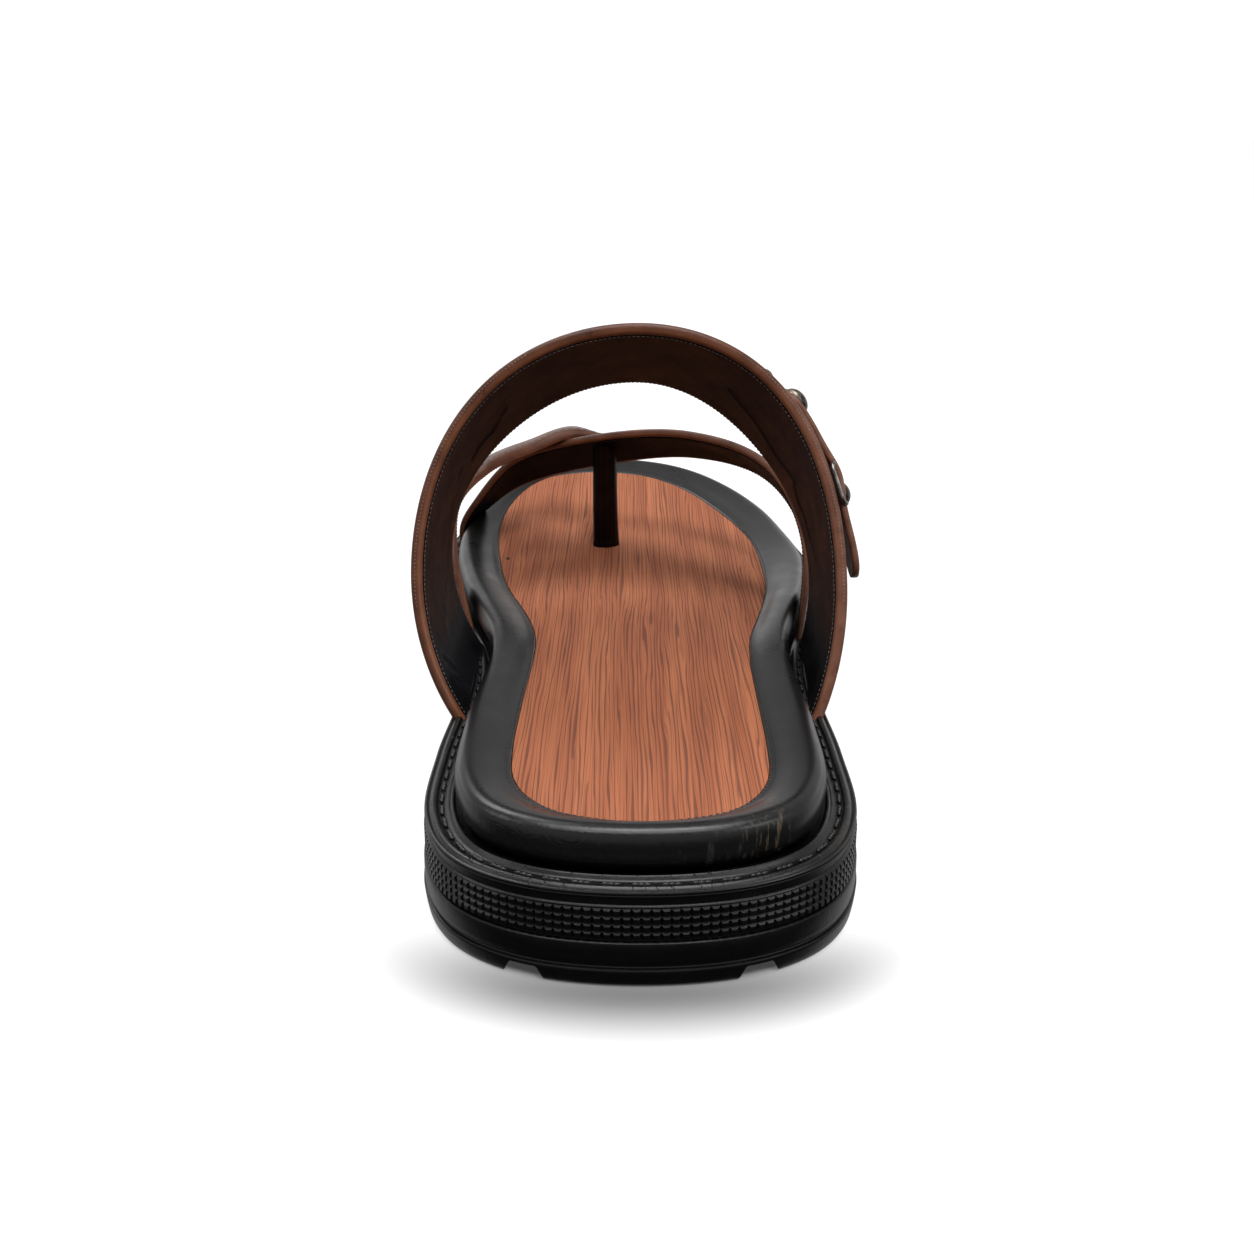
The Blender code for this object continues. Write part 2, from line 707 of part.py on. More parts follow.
def main():
    """Build the sandal's pieces in their collection, and the helper solids in another."""
    for old in list(bpy.data.objects):
        bpy.data.objects.remove(old, do_unlink=True)
    parts = bpy.data.collections.new("cross_strap_sandal")
    cutters = bpy.data.collections.new("cutters")
    bpy.context.scene.collection.children.link(parts)
    bpy.context.scene.collection.children.link(cutters)
    make_outsole(parts, cutters)
    make_footbed(parts)
    make_insole(parts, cutters)
    make_instep_strap(parts)
    make_cross_straps(parts, cutters)
    make_toe_post(parts)
    make_buckle_strap(parts)
    make_buckle_frame(parts)
    on_strap = CLEARANCE
    on_buckle_strap = BUCKLE_STRAP_GAP + BUCKLE_STRAP_THICKNESS + CLEARANCE
    make_stud("stud_1", TAB_STUD_PLACE, STUD_LINE, on_buckle_strap, parts)
    make_stud("stud_2", FRAME_STUD_PLACE, STUD_LINE, on_buckle_strap, parts)
    make_stud("stud_3", UPPER_STUD_PLACE, UPPER_STUD_LINE, on_strap, parts)


main()
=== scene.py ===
"""Looks of a cross-strap toe-post sandal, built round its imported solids.

Tables are in millimetres: x from the heel's centre line (positive to the outer side of the foot),
y from the back of the outsole towards the toe, z from the floor. Meshes are in metres.
"""

import logging
import math
from dataclasses import dataclass, field
from enum import Enum
from functools import cached_property

import bmesh
import bpy
import numpy as np
from mathutils import Matrix, Vector


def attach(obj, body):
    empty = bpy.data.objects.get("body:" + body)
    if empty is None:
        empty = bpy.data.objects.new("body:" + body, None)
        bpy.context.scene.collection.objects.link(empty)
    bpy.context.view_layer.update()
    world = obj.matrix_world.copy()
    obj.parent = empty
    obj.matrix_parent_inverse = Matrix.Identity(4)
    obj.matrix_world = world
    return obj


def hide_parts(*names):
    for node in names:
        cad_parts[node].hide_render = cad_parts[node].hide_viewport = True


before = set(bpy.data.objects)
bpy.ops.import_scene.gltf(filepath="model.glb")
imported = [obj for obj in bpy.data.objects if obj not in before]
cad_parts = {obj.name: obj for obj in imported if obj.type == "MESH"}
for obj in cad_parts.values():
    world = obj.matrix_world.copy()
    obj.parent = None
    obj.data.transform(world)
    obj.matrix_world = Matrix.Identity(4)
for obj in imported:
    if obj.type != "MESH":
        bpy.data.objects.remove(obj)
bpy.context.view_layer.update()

LOG = logging.getLogger("sandal")
MM = 0.001
CENTRE = np.array((-3.15, 148.6, 0.0))
WELD = 0.000001
UP = (0.0, 0.0, 1.0)
BLACK = (0.0, 0.0, 0.0)
WHITE = (1.0, 1.0, 1.0)

Number = "float | Value"
Mesh = bmesh.types.BMesh
Material = bpy.types.Material
Pair = tuple[float, float]
Triple = tuple[float, float, float]
Colour = Triple
Rows = tuple[tuple[float, ...], ...]


class Side(Enum):
    """Sides of the foot."""

    INNER = -1
    OUTER = 1


class Slot(Enum):
    """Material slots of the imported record."""

    RUBBER = "rubber"
    RIM = "rim_leather"
    SOCK = "wood_sock"
    STRAP = "strap_leather"
    METAL = "dark_metal"


# Curves and meshes


def shared(points: np.ndarray) -> np.ndarray:
    """Points of the tables in the shoe's own frame, in metres."""
    return (np.asarray(points, float) - CENTRE) * MM


def smooth_step(value: np.ndarray, low: float, high: float) -> np.ndarray:
    """Ease from 0 at low to 1 at high."""
    t = np.clip((np.asarray(value, float) - low) / (high - low), 0.0, 1.0)
    return t * t * (3.0 - 2.0 * t)


def spline(points: np.ndarray, steps: int, closed: bool = False) -> np.ndarray:
    """Smooth curve through points.

    Args:
        points: the points that the curve goes through.
        steps: steps in each span.
        closed: whether the curve returns to its first point.

    Returns:
        Points along the curve.
    """
    points = np.asarray(points, float)
    if closed:
        points = np.vstack([points[-1], points, points[0], points[1]])
    else:
        points = np.vstack([2 * points[0] - points[1], points, 2 * points[-1] - points[-2]])
    curve = []
    for p0, p1, p2, p3 in zip(points, points[1:], points[2:], points[3:]):
        gaps = [np.linalg.norm(b - a) ** 0.5 for a, b in ((p0, p1), (p1, p2), (p2, p3))]
        t0, t1, t2, t3 = np.cumsum([0.0] + gaps)
        for t in np.linspace(t1, t2, steps, endpoint=False):
            a1 = (t1 - t) / (t1 - t0) * p0 + (t - t0) / (t1 - t0) * p1
            a2 = (t2 - t) / (t2 - t1) * p1 + (t - t1) / (t2 - t1) * p2
            a3 = (t3 - t) / (t3 - t2) * p2 + (t - t2) / (t3 - t2) * p3
            b1 = (t2 - t) / (t2 - t0) * a1 + (t - t0) / (t2 - t0) * a2
            b2 = (t3 - t) / (t3 - t1) * a2 + (t - t1) / (t3 - t1) * a3
            curve.append((t2 - t) / (t2 - t1) * b1 + (t - t1) / (t2 - t1) * b2)
    if not closed:
        curve.append(points[-2])
    return np.array(curve)


def run_lengths(curve: np.ndarray) -> np.ndarray:
    """Distance along a curve at each of its points."""
    return np.concatenate([[0.0], np.cumsum(np.linalg.norm(np.diff(curve, axis=0), axis=1))])


def sample(places: np.ndarray, lengths: np.ndarray, values: np.ndarray) -> np.ndarray:
    """Points or directions at places along a curve whose own points are at the lengths."""
    return np.stack([np.interp(places, lengths, column) for column in values.T], axis=1)


def even_steps(curve: np.ndarray, steps: int) -> np.ndarray:
    """Points at even distances along a curve."""
    lengths = run_lengths(curve)
    return sample(np.linspace(0.0, lengths[-1], steps + 1), lengths, curve)


def ring_steps(ring: np.ndarray, pitch: float) -> np.ndarray:
    """Points at about a pitch round a ring, with the first again at the end."""
    closed = np.vstack([ring, ring[:1]])
    return even_steps(closed, round(run_lengths(closed)[-1] / pitch))


def unit(vectors: np.ndarray) -> np.ndarray:
    """Vectors scaled to length 1."""
    return vectors / np.linalg.norm(vectors, axis=-1, keepdims=True)


def close(bm: Mesh, fill: bool = True) -> None:
    """Weld a mesh, fill its holes if asked and turn its faces outwards.

    Args:
        bm: the mesh.
        fill: whether its holes are filled.
    """
    bmesh.ops.remove_doubles(bm, verts=bm.verts, dist=WELD)
    if fill:
        bmesh.ops.holes_fill(bm, edges=[edge for edge in bm.edges if edge.is_boundary])
    bmesh.ops.recalc_face_normals(bm, faces=bm.faces)


def skin(points: np.ndarray, ring: bool = True, tube: bool = False, fill: bool = True) -> Mesh:
    """Lay a grid over rows of points.

    Args:
        points: rows of points in millimetres, as an array of rows, columns and coordinates.
        ring: whether each row closes on itself.
        tube: whether the last row joins the first.
        fill: whether open ends are filled.

    Returns:
        The mesh, with its faces outwards and a UV map that runs from 0 to 1 both ways.
    """
    if ring:
        points = np.concatenate([points, points[:, :1]], axis=1)
    if tube:
        points = np.concatenate([points, points[:1]], axis=0)
    rows, columns = points.shape[0] - 1, points.shape[1] - 1
    bm = bmesh.new()
    bm.loops.layers.uv.new("surface")
    bmesh.ops.create_grid(bm, x_segments=columns, y_segments=rows, size=1.0, calc_uvs=True)
    places = shared(points)
    for vert in bm.verts:
        column = round((vert.co.x + 1.0) * columns / 2.0)
        row = round((vert.co.y + 1.0) * rows / 2.0)
        vert.co = places[row, column]
    close(bm, fill)
    return bm


def axes_at(point: np.ndarray, along: np.ndarray, normal: np.ndarray) -> Matrix:
    """Matrix that carries X to a direction along a surface and Z to the surface's normal.

    Args:
        point: the place in millimetres.
        along: the direction along the surface.
        normal: the surface's normal.

    Returns:
        The matrix, in metres.
    """
    x = Vector(along).normalized()
    y = Vector(normal).cross(x).normalized()
    turned = Matrix((x, y, x.cross(y))).transposed().to_4x4()
    return Matrix.Translation(Vector(shared(point))) @ turned


def beads(spots: list[Matrix], size: Triple, rounds: int = 1) -> Mesh:
    """One mesh of small rounded lumps.

    Args:
        spots: where each lump goes, with X along it and Z off the surface.
        size: half sizes in millimetres.
        rounds: how finely each lump is divided.

    Returns:
        The mesh.
    """
    bm = bmesh.new()
    scale = Matrix.Diagonal((*(part * MM for part in size), 1.0))
    for spot in spots:
        bmesh.ops.create_icosphere(bm, subdivisions=rounds, radius=1.0, matrix=spot @ scale)
    return bm


def as_object(bm: Mesh, name: str) -> bpy.types.Object:
    """Put a finished mesh in the scene and free it.

    Args:
        bm: the mesh, which is freed.
        name: the object's name.

    Returns:
        The object.
    """
    mesh = bpy.data.meshes.new(name)
    bm.to_mesh(mesh)
    bm.free()
    made = bpy.data.objects.new(name, mesh)
    bpy.context.scene.collection.objects.link(made)
    return made


def show(
    bm: Mesh,
    name: str,
    material: Material,
    replaces: tuple[str, ...] = (),
    crease: float = 38.0,
) -> None:
    """Turn a mesh into a piece that rides on the shoe.

    Args:
        bm: the finished mesh, which is freed.
        name: the piece's name.
        material: its material.
        replaces: the solids that it stands for.
        crease: angle in degrees above which an edge is sharp.
    """
    piece = as_object(bm, name)
    mesh = piece.data
    mesh.materials.append(material)
    mesh.shade_smooth()
    mesh.set_sharp_from_angle(angle=math.radians(crease))
    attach(piece, "root")
    if replaces:
        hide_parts(*replaces)
    LOG.info("%s: %d faces", name, len(mesh.polygons))


# Shaders


class Value:
    """A shader socket that takes part in Python sums."""

    def __init__(self, paint: "Paint", socket: bpy.types.NodeSocket) -> None:
        """Keep the socket and the material that it belongs to."""
        self.paint = paint
        self.socket = socket

    def _sum(self, operation: str, first: Number, second: Number) -> "Value":
        """Add a Math node for two numbers."""
        return self.paint.node("ShaderNodeMath", {"operation": operation}, {0: first, 1: second})

    def __add__(self, other: Number) -> "Value":
        """This plus the other."""
        return self._sum("ADD", self, other)

    def __sub__(self, other: Number) -> "Value":
        """This minus the other."""
        return self._sum("SUBTRACT", self, other)

    def __rsub__(self, other: float) -> "Value":
        """The other minus this."""
        return self._sum("SUBTRACT", other, self)

    def __mul__(self, other: Number) -> "Value":
        """This times the other."""
        return self._sum("MULTIPLY", self, other)

    def __truediv__(self, other: Number) -> "Value":
        """This over the other."""
        return self._sum("DIVIDE", self, other)

    __radd__ = __add__
    __rmul__ = __mul__

    def most(self, other: Number) -> "Value":
        """The larger of this and the other."""
        return self._sum("MAXIMUM", self, other)

    def fold(self) -> "Value":
        """A wave that runs up to a half and back to 0."""
        return self._sum("PINGPONG", self, 0.5)

    def ramp(self, low: float, high: float, start: float = 0.0, end: float = 1.0) -> "Value":
        """Ease from start at low to end at high."""
        sockets = {"Value": self, "From Min": low, "From Max": high, "To Min": start, "To Max": end}
        return self.paint.node("ShaderNodeMapRange", {"interpolation_type": "SMOOTHSTEP"}, sockets)


class Paint:
    """A material whose nodes are added one by one."""

    def __init__(self, name: str) -> None:
        """Start a material with an empty Principled shader.

        Args:
            name: the material's name.
        """
        self.material = bpy.data.materials.new(name)
        self.material.use_nodes = True
        self.tree = self.material.node_tree
        self.shader = self.tree.nodes["Principled BSDF"]

    def feed(self, socket: bpy.types.NodeSocket, value: object) -> None:
        """Link a value to a socket, or set the socket where the value is a constant.

        Args:
            socket: an input socket.
            value: a constant, or a value of this material.
        """
        if isinstance(value, Value):
            self.tree.links.new(value.socket, socket)
        else:
            socket.default_value = value

    def node(self, kind: str, settings: dict, sockets: dict, output: int = 0) -> Value:
        """Add a node.

        Args:
            kind: the node's type.
            settings: its own settings.
            sockets: values or links of its input sockets, by name or number.
            output: which output is wanted.

        Returns:
            The output.
        """
        made = self.tree.nodes.new(kind)
        for name, value in settings.items():
            setattr(made, name, value)
        for key, value in sockets.items():
            self.feed(made.inputs[key], value)
        return Value(self, made.outputs[output])

    @cached_property
    def place(self) -> Value:
        """The place on the object, in millimetres."""
        place = self.node("ShaderNodeTexCoord", {}, {}, 3)
        return self.stretch(place, (1.0 / MM,) * 3)

    @cached_property
    def surface(self) -> Value:
        """The piece's own UV map."""
        return self.node("ShaderNodeTexCoord", {}, {}, 2)

    def stretch(self, vector: Value, scale: Triple) -> Value:
        """A place multiplied axis by axis."""
        return self.node("ShaderNodeVectorMath", {"operation": "MULTIPLY"}, {0: vector, 1: scale})

    def axis(self, vector: Value, index: int) -> Value:
        """One coordinate of a place."""
        return self.node("ShaderNodeSeparateXYZ", {}, {0: vector}, index)

    def noise(self, scale: "float | Triple", detail: float = 2.0, rough: float = 0.5) -> Value:
        """Cloudy noise from 0 to 1.

        Args:
            scale: lumps in a millimetre, the same on all axes or one for each.
            detail: how many finer layers it has.
            rough: how strong the finer layers are.

        Returns:
            The noise.
        """
        place = self.place
        if isinstance(scale, tuple):
            place, scale = self.stretch(place, scale), 1.0
        sockets = {"Vector": place, "Scale": scale, "Detail": detail, "Roughness": rough}
        return self.node("ShaderNodeTexNoise", {}, sockets)

    def cells(self, scale: float) -> Value:
        """Distance in a cell pattern with a number of cells in a millimetre."""
        sockets = {"Vector": self.place, "Scale": scale}
        return self.node("ShaderNodeTexVoronoi", {"feature": "F1"}, sockets)

    def blend(self, factor: Value, first: "Colour | Value", second: "Colour | Value") -> Value:
        """A colour between two colours.

        Args:
            factor: 0 for the first colour and 1 for the second.
            first: a colour.
            second: another colour.

        Returns:
            The colour.
        """
        colours = [(*part, 1.0) if isinstance(part, tuple) else part for part in (first, second)]
        sockets = {0: factor, 6: colours[0], 7: colours[1]}
        return self.node("ShaderNodeMix", {"data_type": "RGBA"}, sockets, 2)

    def bump(self, height: Value, depth: float) -> Value:
        """A normal from a height of 0 to 1 that stands for a depth in millimetres."""
        sockets = {"Strength": 1.0, "Distance": depth * MM, "Height": height}
        return self.node("ShaderNodeBump", {}, sockets)

    def coat(self, **sockets: object) -> Material:
        """Set the shader's sockets.

        Args:
            sockets: constants or values, by socket name with underscores for spaces.

        Returns:
            The material.
        """
        for name, value in sockets.items():
            self.feed(self.shader.inputs[name.replace("_", " ")], value)
        return self.material


class Sky(Paint):
    """A world whose light changes with the direction."""

    def __init__(self, name: str) -> None:
        """Start a world with a plain background.

        Args:
            name: the world's name.
        """
        self.world = bpy.data.worlds.new(name)
        self.world.use_nodes = True
        self.tree = self.world.node_tree
        self.shader = self.tree.nodes["Background"]


@dataclass(frozen=True)
class Rubber:
    """Moulded black rubber with a little dust, and small cuts across the welt's ridges."""

    name: str
    black: Colour = (0.0012, 0.0012, 0.0014)
    dust: Colour = (0.022, 0.016, 0.011)
    sheen: float = 0.55
    dirty_side: Pair = (0.0, 42.0)
    ring_length: float = 790.0
    cut_pitch: float = 3.6
    ridges: Rows = ()

    def cuts(self, paint: Paint) -> Value:
        """Thin cuts at uneven places across the ridges.

        Args:
            paint: the material.

        Returns:
            1 in a cut and 0 elsewhere.
        """
        along = paint.axis(paint.surface, 0) * self.ring_length
        row = paint.axis(paint.surface, 1)
        uneven = paint.noise(0.09) * 5.0
        line = (along / self.cut_pitch + uneven).fold().ramp(0.055, 0.015)
        kept = paint.noise(0.33, 1.0).ramp(0.42, 0.56)
        on_ridge = 0.0
        for low, high in self.ridges:
            on_ridge = row.ramp(low - 0.004, low) * row.ramp(high + 0.004, high) + on_ridge
        return line * kept * on_ridge

    def material(self) -> Material:
        """Build the material.

        Returns:
            The material.
        """
        paint = Paint(self.name)
        cloud = paint.noise(0.055, 4.0, 0.6)
        fine = paint.noise(1.4, 3.0, 0.6)
        outer_side = paint.axis(paint.place, 0).ramp(*self.dirty_side, 0.3, 1.0)
        dirt = cloud.ramp(0.48, 0.72) * fine.ramp(0.35, 0.75) * outer_side
        colour = paint.blend(dirt * 0.7, self.black, self.dust)
        relief = fine * 0.16 + paint.noise(0.35) * 0.3
        if self.ridges:
            relief = relief - self.cuts(paint)
        return paint.coat(
            Base_Color=colour,
            Roughness=cloud.ramp(0.3, 0.75, 0.30, 0.40),
            Specular_IOR_Level=self.sheen,
            Normal=paint.bump(relief, 0.2),
        )


@dataclass(frozen=True)
class RimLeather:
    """Smooth black leather wrapped round the footbed, creased and scuffed at the back."""

    black: Colour = (0.0062, 0.0062, 0.0065)
    scuff: Colour = (0.105, 0.076, 0.046)
    rub: Colour = (0.034, 0.033, 0.032)
    sheen: float = 0.48
    wall_back: Pair = (-124.0, -134.0)
    wall_top: Pair = (30.0, 27.5)
    wall_foot: Pair = (19.5, 21.0)
    scuff_sides: tuple[Pair, Pair] = ((21.0, 25.0), (34.0, 29.0))
    rub_sides: tuple[Pair, Pair] = ((8.0, 12.0), (26.0, 20.0))
    wrinkle_side: Pair = (6.0, -8.0)

    def material(self) -> Material:
        """Build the material.

        Returns:
            The material.
        """
        paint = Paint("rim_leather")
        x, y, z = (paint.axis(paint.place, index) for index in range(3))
        soft = paint.noise(0.13, 3.0, 0.55)
        brushed = paint.noise((1.7, 0.6, 1.7))
        wall = y.ramp(*self.wall_back) * z.ramp(*self.wall_top) * z.ramp(*self.wall_foot)
        folds = paint.noise((0.42, 0.42, 0.16), 3.0, 0.6)
        swirl = paint.noise((0.10, 0.10, 0.16))
        strokes = paint.noise((1.05, 0.5, 0.17), 3.0, 0.6)
        wrinkles = (swirl * 14.0).fold() * x.ramp(*self.wrinkle_side)
        brown, grey = (
            wall * strokes.ramp(low, 0.66) * x.ramp(*sides[0]) * x.ramp(*sides[1])
            for low, sides in ((0.50, self.scuff_sides), (0.54, self.rub_sides))
        )
        relief = brushed * 0.03 + soft * 0.12 + wall * (folds * 1.4 + wrinkles * 0.5) + brown * 0.5
        colour = paint.blend(grey * 0.55, self.black, self.rub)
        return paint.coat(
            Base_Color=paint.blend(brown * 0.7, colour, self.scuff),
            Roughness=soft.ramp(0.3, 0.7, 0.27, 0.33) + (brown + grey) * 0.16,
            Specular_IOR_Level=self.sheen,
            Normal=paint.bump(relief, 0.10),
        )


@dataclass(frozen=True)
class WoodSock:
    """Sock sheet with a wood-grain pattern that runs from heel to toe."""

    pale: Colour = (0.46, 0.164, 0.081)
    warm: Colour = (0.375, 0.126, 0.063)
    dark: Colour = (0.113, 0.050, 0.040)
    line_pitch: float = 1.02
    line_thick: float = 0.21
    hair_pitch: float = 0.57
    hair_thick: float = 0.20
    sway: float = 4.0
    waver: float = 3.0

    def grain(self, paint: Paint, across: Value, pitch: float, thick: float) -> Value:
        """Long lines that swell, fade and break along the sock.

        Args:
            paint: the material.
            across: the distance across the lines.
            pitch: the distance between lines.
            thick: the largest half width of a line, as a share of the pitch.

        Returns:
            1 on a line and 0 between lines.
        """
        body = paint.noise((0.8 / pitch, 0.016, 0.0))
        middle = (across / pitch).fold()
        return (middle - body.ramp(0.24, 0.66, -0.02, thick)).ramp(0.06, -0.06)

    def material(self) -> Material:
        """Build the material.

        Returns:
            The material.
        """
        paint = Paint("wood_sock")
        sway = paint.noise((0.05, 0.008, 0.0))
        waver = paint.noise((0.32, 0.014, 0.0))
        across = paint.axis(paint.place, 0) + sway * self.sway + waver * self.waver
        broad = paint.noise((0.17, 0.007, 0.0))
        lines = self.grain(paint, across, self.line_pitch, self.line_thick)
        hairs = self.grain(paint, across, self.hair_pitch, self.hair_thick)
        fibres = paint.noise((2.6, 0.035, 0.0)).ramp(0.50, 0.72)
        streak = lines.most(hairs * 0.5).most(fibres * 0.5)
        ground = paint.blend(broad.ramp(0.36, 0.64), self.pale, self.warm)
        colour = paint.blend(streak * 0.72, ground, self.dark)
        relief = streak * -0.5 + paint.noise(2.2) * 0.5
        return paint.coat(
            Base_Color=colour,
            Roughness=streak.ramp(0.0, 1.0, 0.62, 0.70),
            Specular_IOR_Level=0.03,
            Normal=paint.bump(relief, 0.03),
        )


@dataclass(frozen=True)
class BrownLeather:
    """Polished reddish-brown leather, paler along folded edges, with light painted on in patches
    towards the outer side.
    """

    name: str = "brown_leather"
    deep: Colour = (0.046, 0.0145, 0.0072)
    light: Colour = (0.125, 0.043, 0.022)
    bare: Colour = (0.200, 0.074, 0.035)
    side_light_tint: Colour = (0.240, 0.108, 0.070)
    gloss: float = 0.27
    shine: float = 0.3
    folds: Rows = ()
    side_light_range: Pair = (26.0, 54.0)

    def material(self) -> Material:
        """Build the material.

        Returns:
            The material.
        """
        paint = Paint(self.name)
        mottle = paint.noise(0.11, 4.0, 0.6)
        grain = paint.cells(1.5)
        pores = paint.noise(2.6)
        colour = paint.blend(mottle.ramp(0.20, 0.82), self.deep, self.light)
        round_edge = paint.axis(paint.surface, 0)
        for start, end in self.folds:
            pale = round_edge.ramp(start, (start + end) / 2.0) * round_edge.ramp(end + 0.01, end)
            colour = paint.blend(pale * mottle.ramp(0.2, 0.8, 0.35, 0.9), colour, self.bare)
        # Painted light: patches paler towards the outer side stand in for light falling from that
        # side.
        outer_side = paint.axis(paint.place, 0).ramp(*self.side_light_range)
        painted_side_light = outer_side * paint.noise(0.25, 3.0).ramp(0.1, 0.8)
        colour = paint.blend(painted_side_light * 0.65, colour, self.side_light_tint)
        relief = grain * 0.6 + pores * 0.5 + mottle * 0.8
        return paint.coat(
            Base_Color=colour,
            Roughness=mottle.ramp(0.3, 0.7, self.gloss, self.gloss + 0.12),
            Specular_IOR_Level=self.shine,
            Normal=paint.bump(relief, 0.05),
        )


@dataclass(frozen=True)
class Lining:
    """Smooth dark lining inside the straps."""

    name: str = "dark_lining"
    deep: Colour = (0.0026, 0.0022, 0.0028)
    light: Colour = (0.0075, 0.0068, 0.0084)
    shine: float = 0.13

    def material(self) -> Material:
        """Build the material.

        Returns:
            The material.
        """
        paint = Paint(self.name)
        mottle = paint.noise(0.075, 4.0, 0.6)
        grain = paint.noise(1.8, 3.0, 0.6)
        return paint.coat(
            Base_Color=paint.blend(mottle.ramp(0.3, 0.7), self.deep, self.light),
            Roughness=mottle.ramp(0.3, 0.7, 0.46, 0.60),
            Specular_IOR_Level=self.shine,
            Normal=paint.bump(grain + mottle, 0.06),
        )


@dataclass(frozen=True)
class Metal:
    """Metal with dark plating that is worn bright on its high spots."""

    name: str
    dark: Colour
    bright: Colour
    gloss: float = 0.26

    def material(self) -> Material:
        """Build the material.

        Returns:
            The material.
        """
        paint = Paint(self.name)
        wear = paint.noise(0.45, 3.0, 0.5)
        return paint.coat(
            Base_Color=paint.blend(wear.ramp(0.36, 0.70), self.dark, self.bright),
            Roughness=wear.ramp(0.3, 0.7, self.gloss, self.gloss + 0.12),
            Metallic=1.0,
            Normal=paint.bump(wear, 0.005),
        )


@dataclass(frozen=True)
class Thread:
    """Twisted thread or a filled pinhole."""

    name: str
    colour: Colour
    rough: float = 0.6

    def material(self) -> Material:
        """Build the material.

        Returns:
            The material.
        """
        paint = Paint(self.name)
        twist = paint.noise(3.2)
        darker = tuple(part * 0.55 for part in self.colour)
        return paint.coat(
            Base_Color=paint.blend(twist.ramp(0.35, 0.65), darker, self.colour),
            Roughness=self.rough,
            Normal=paint.bump(twist, 0.05),
        )


# The shoe's last


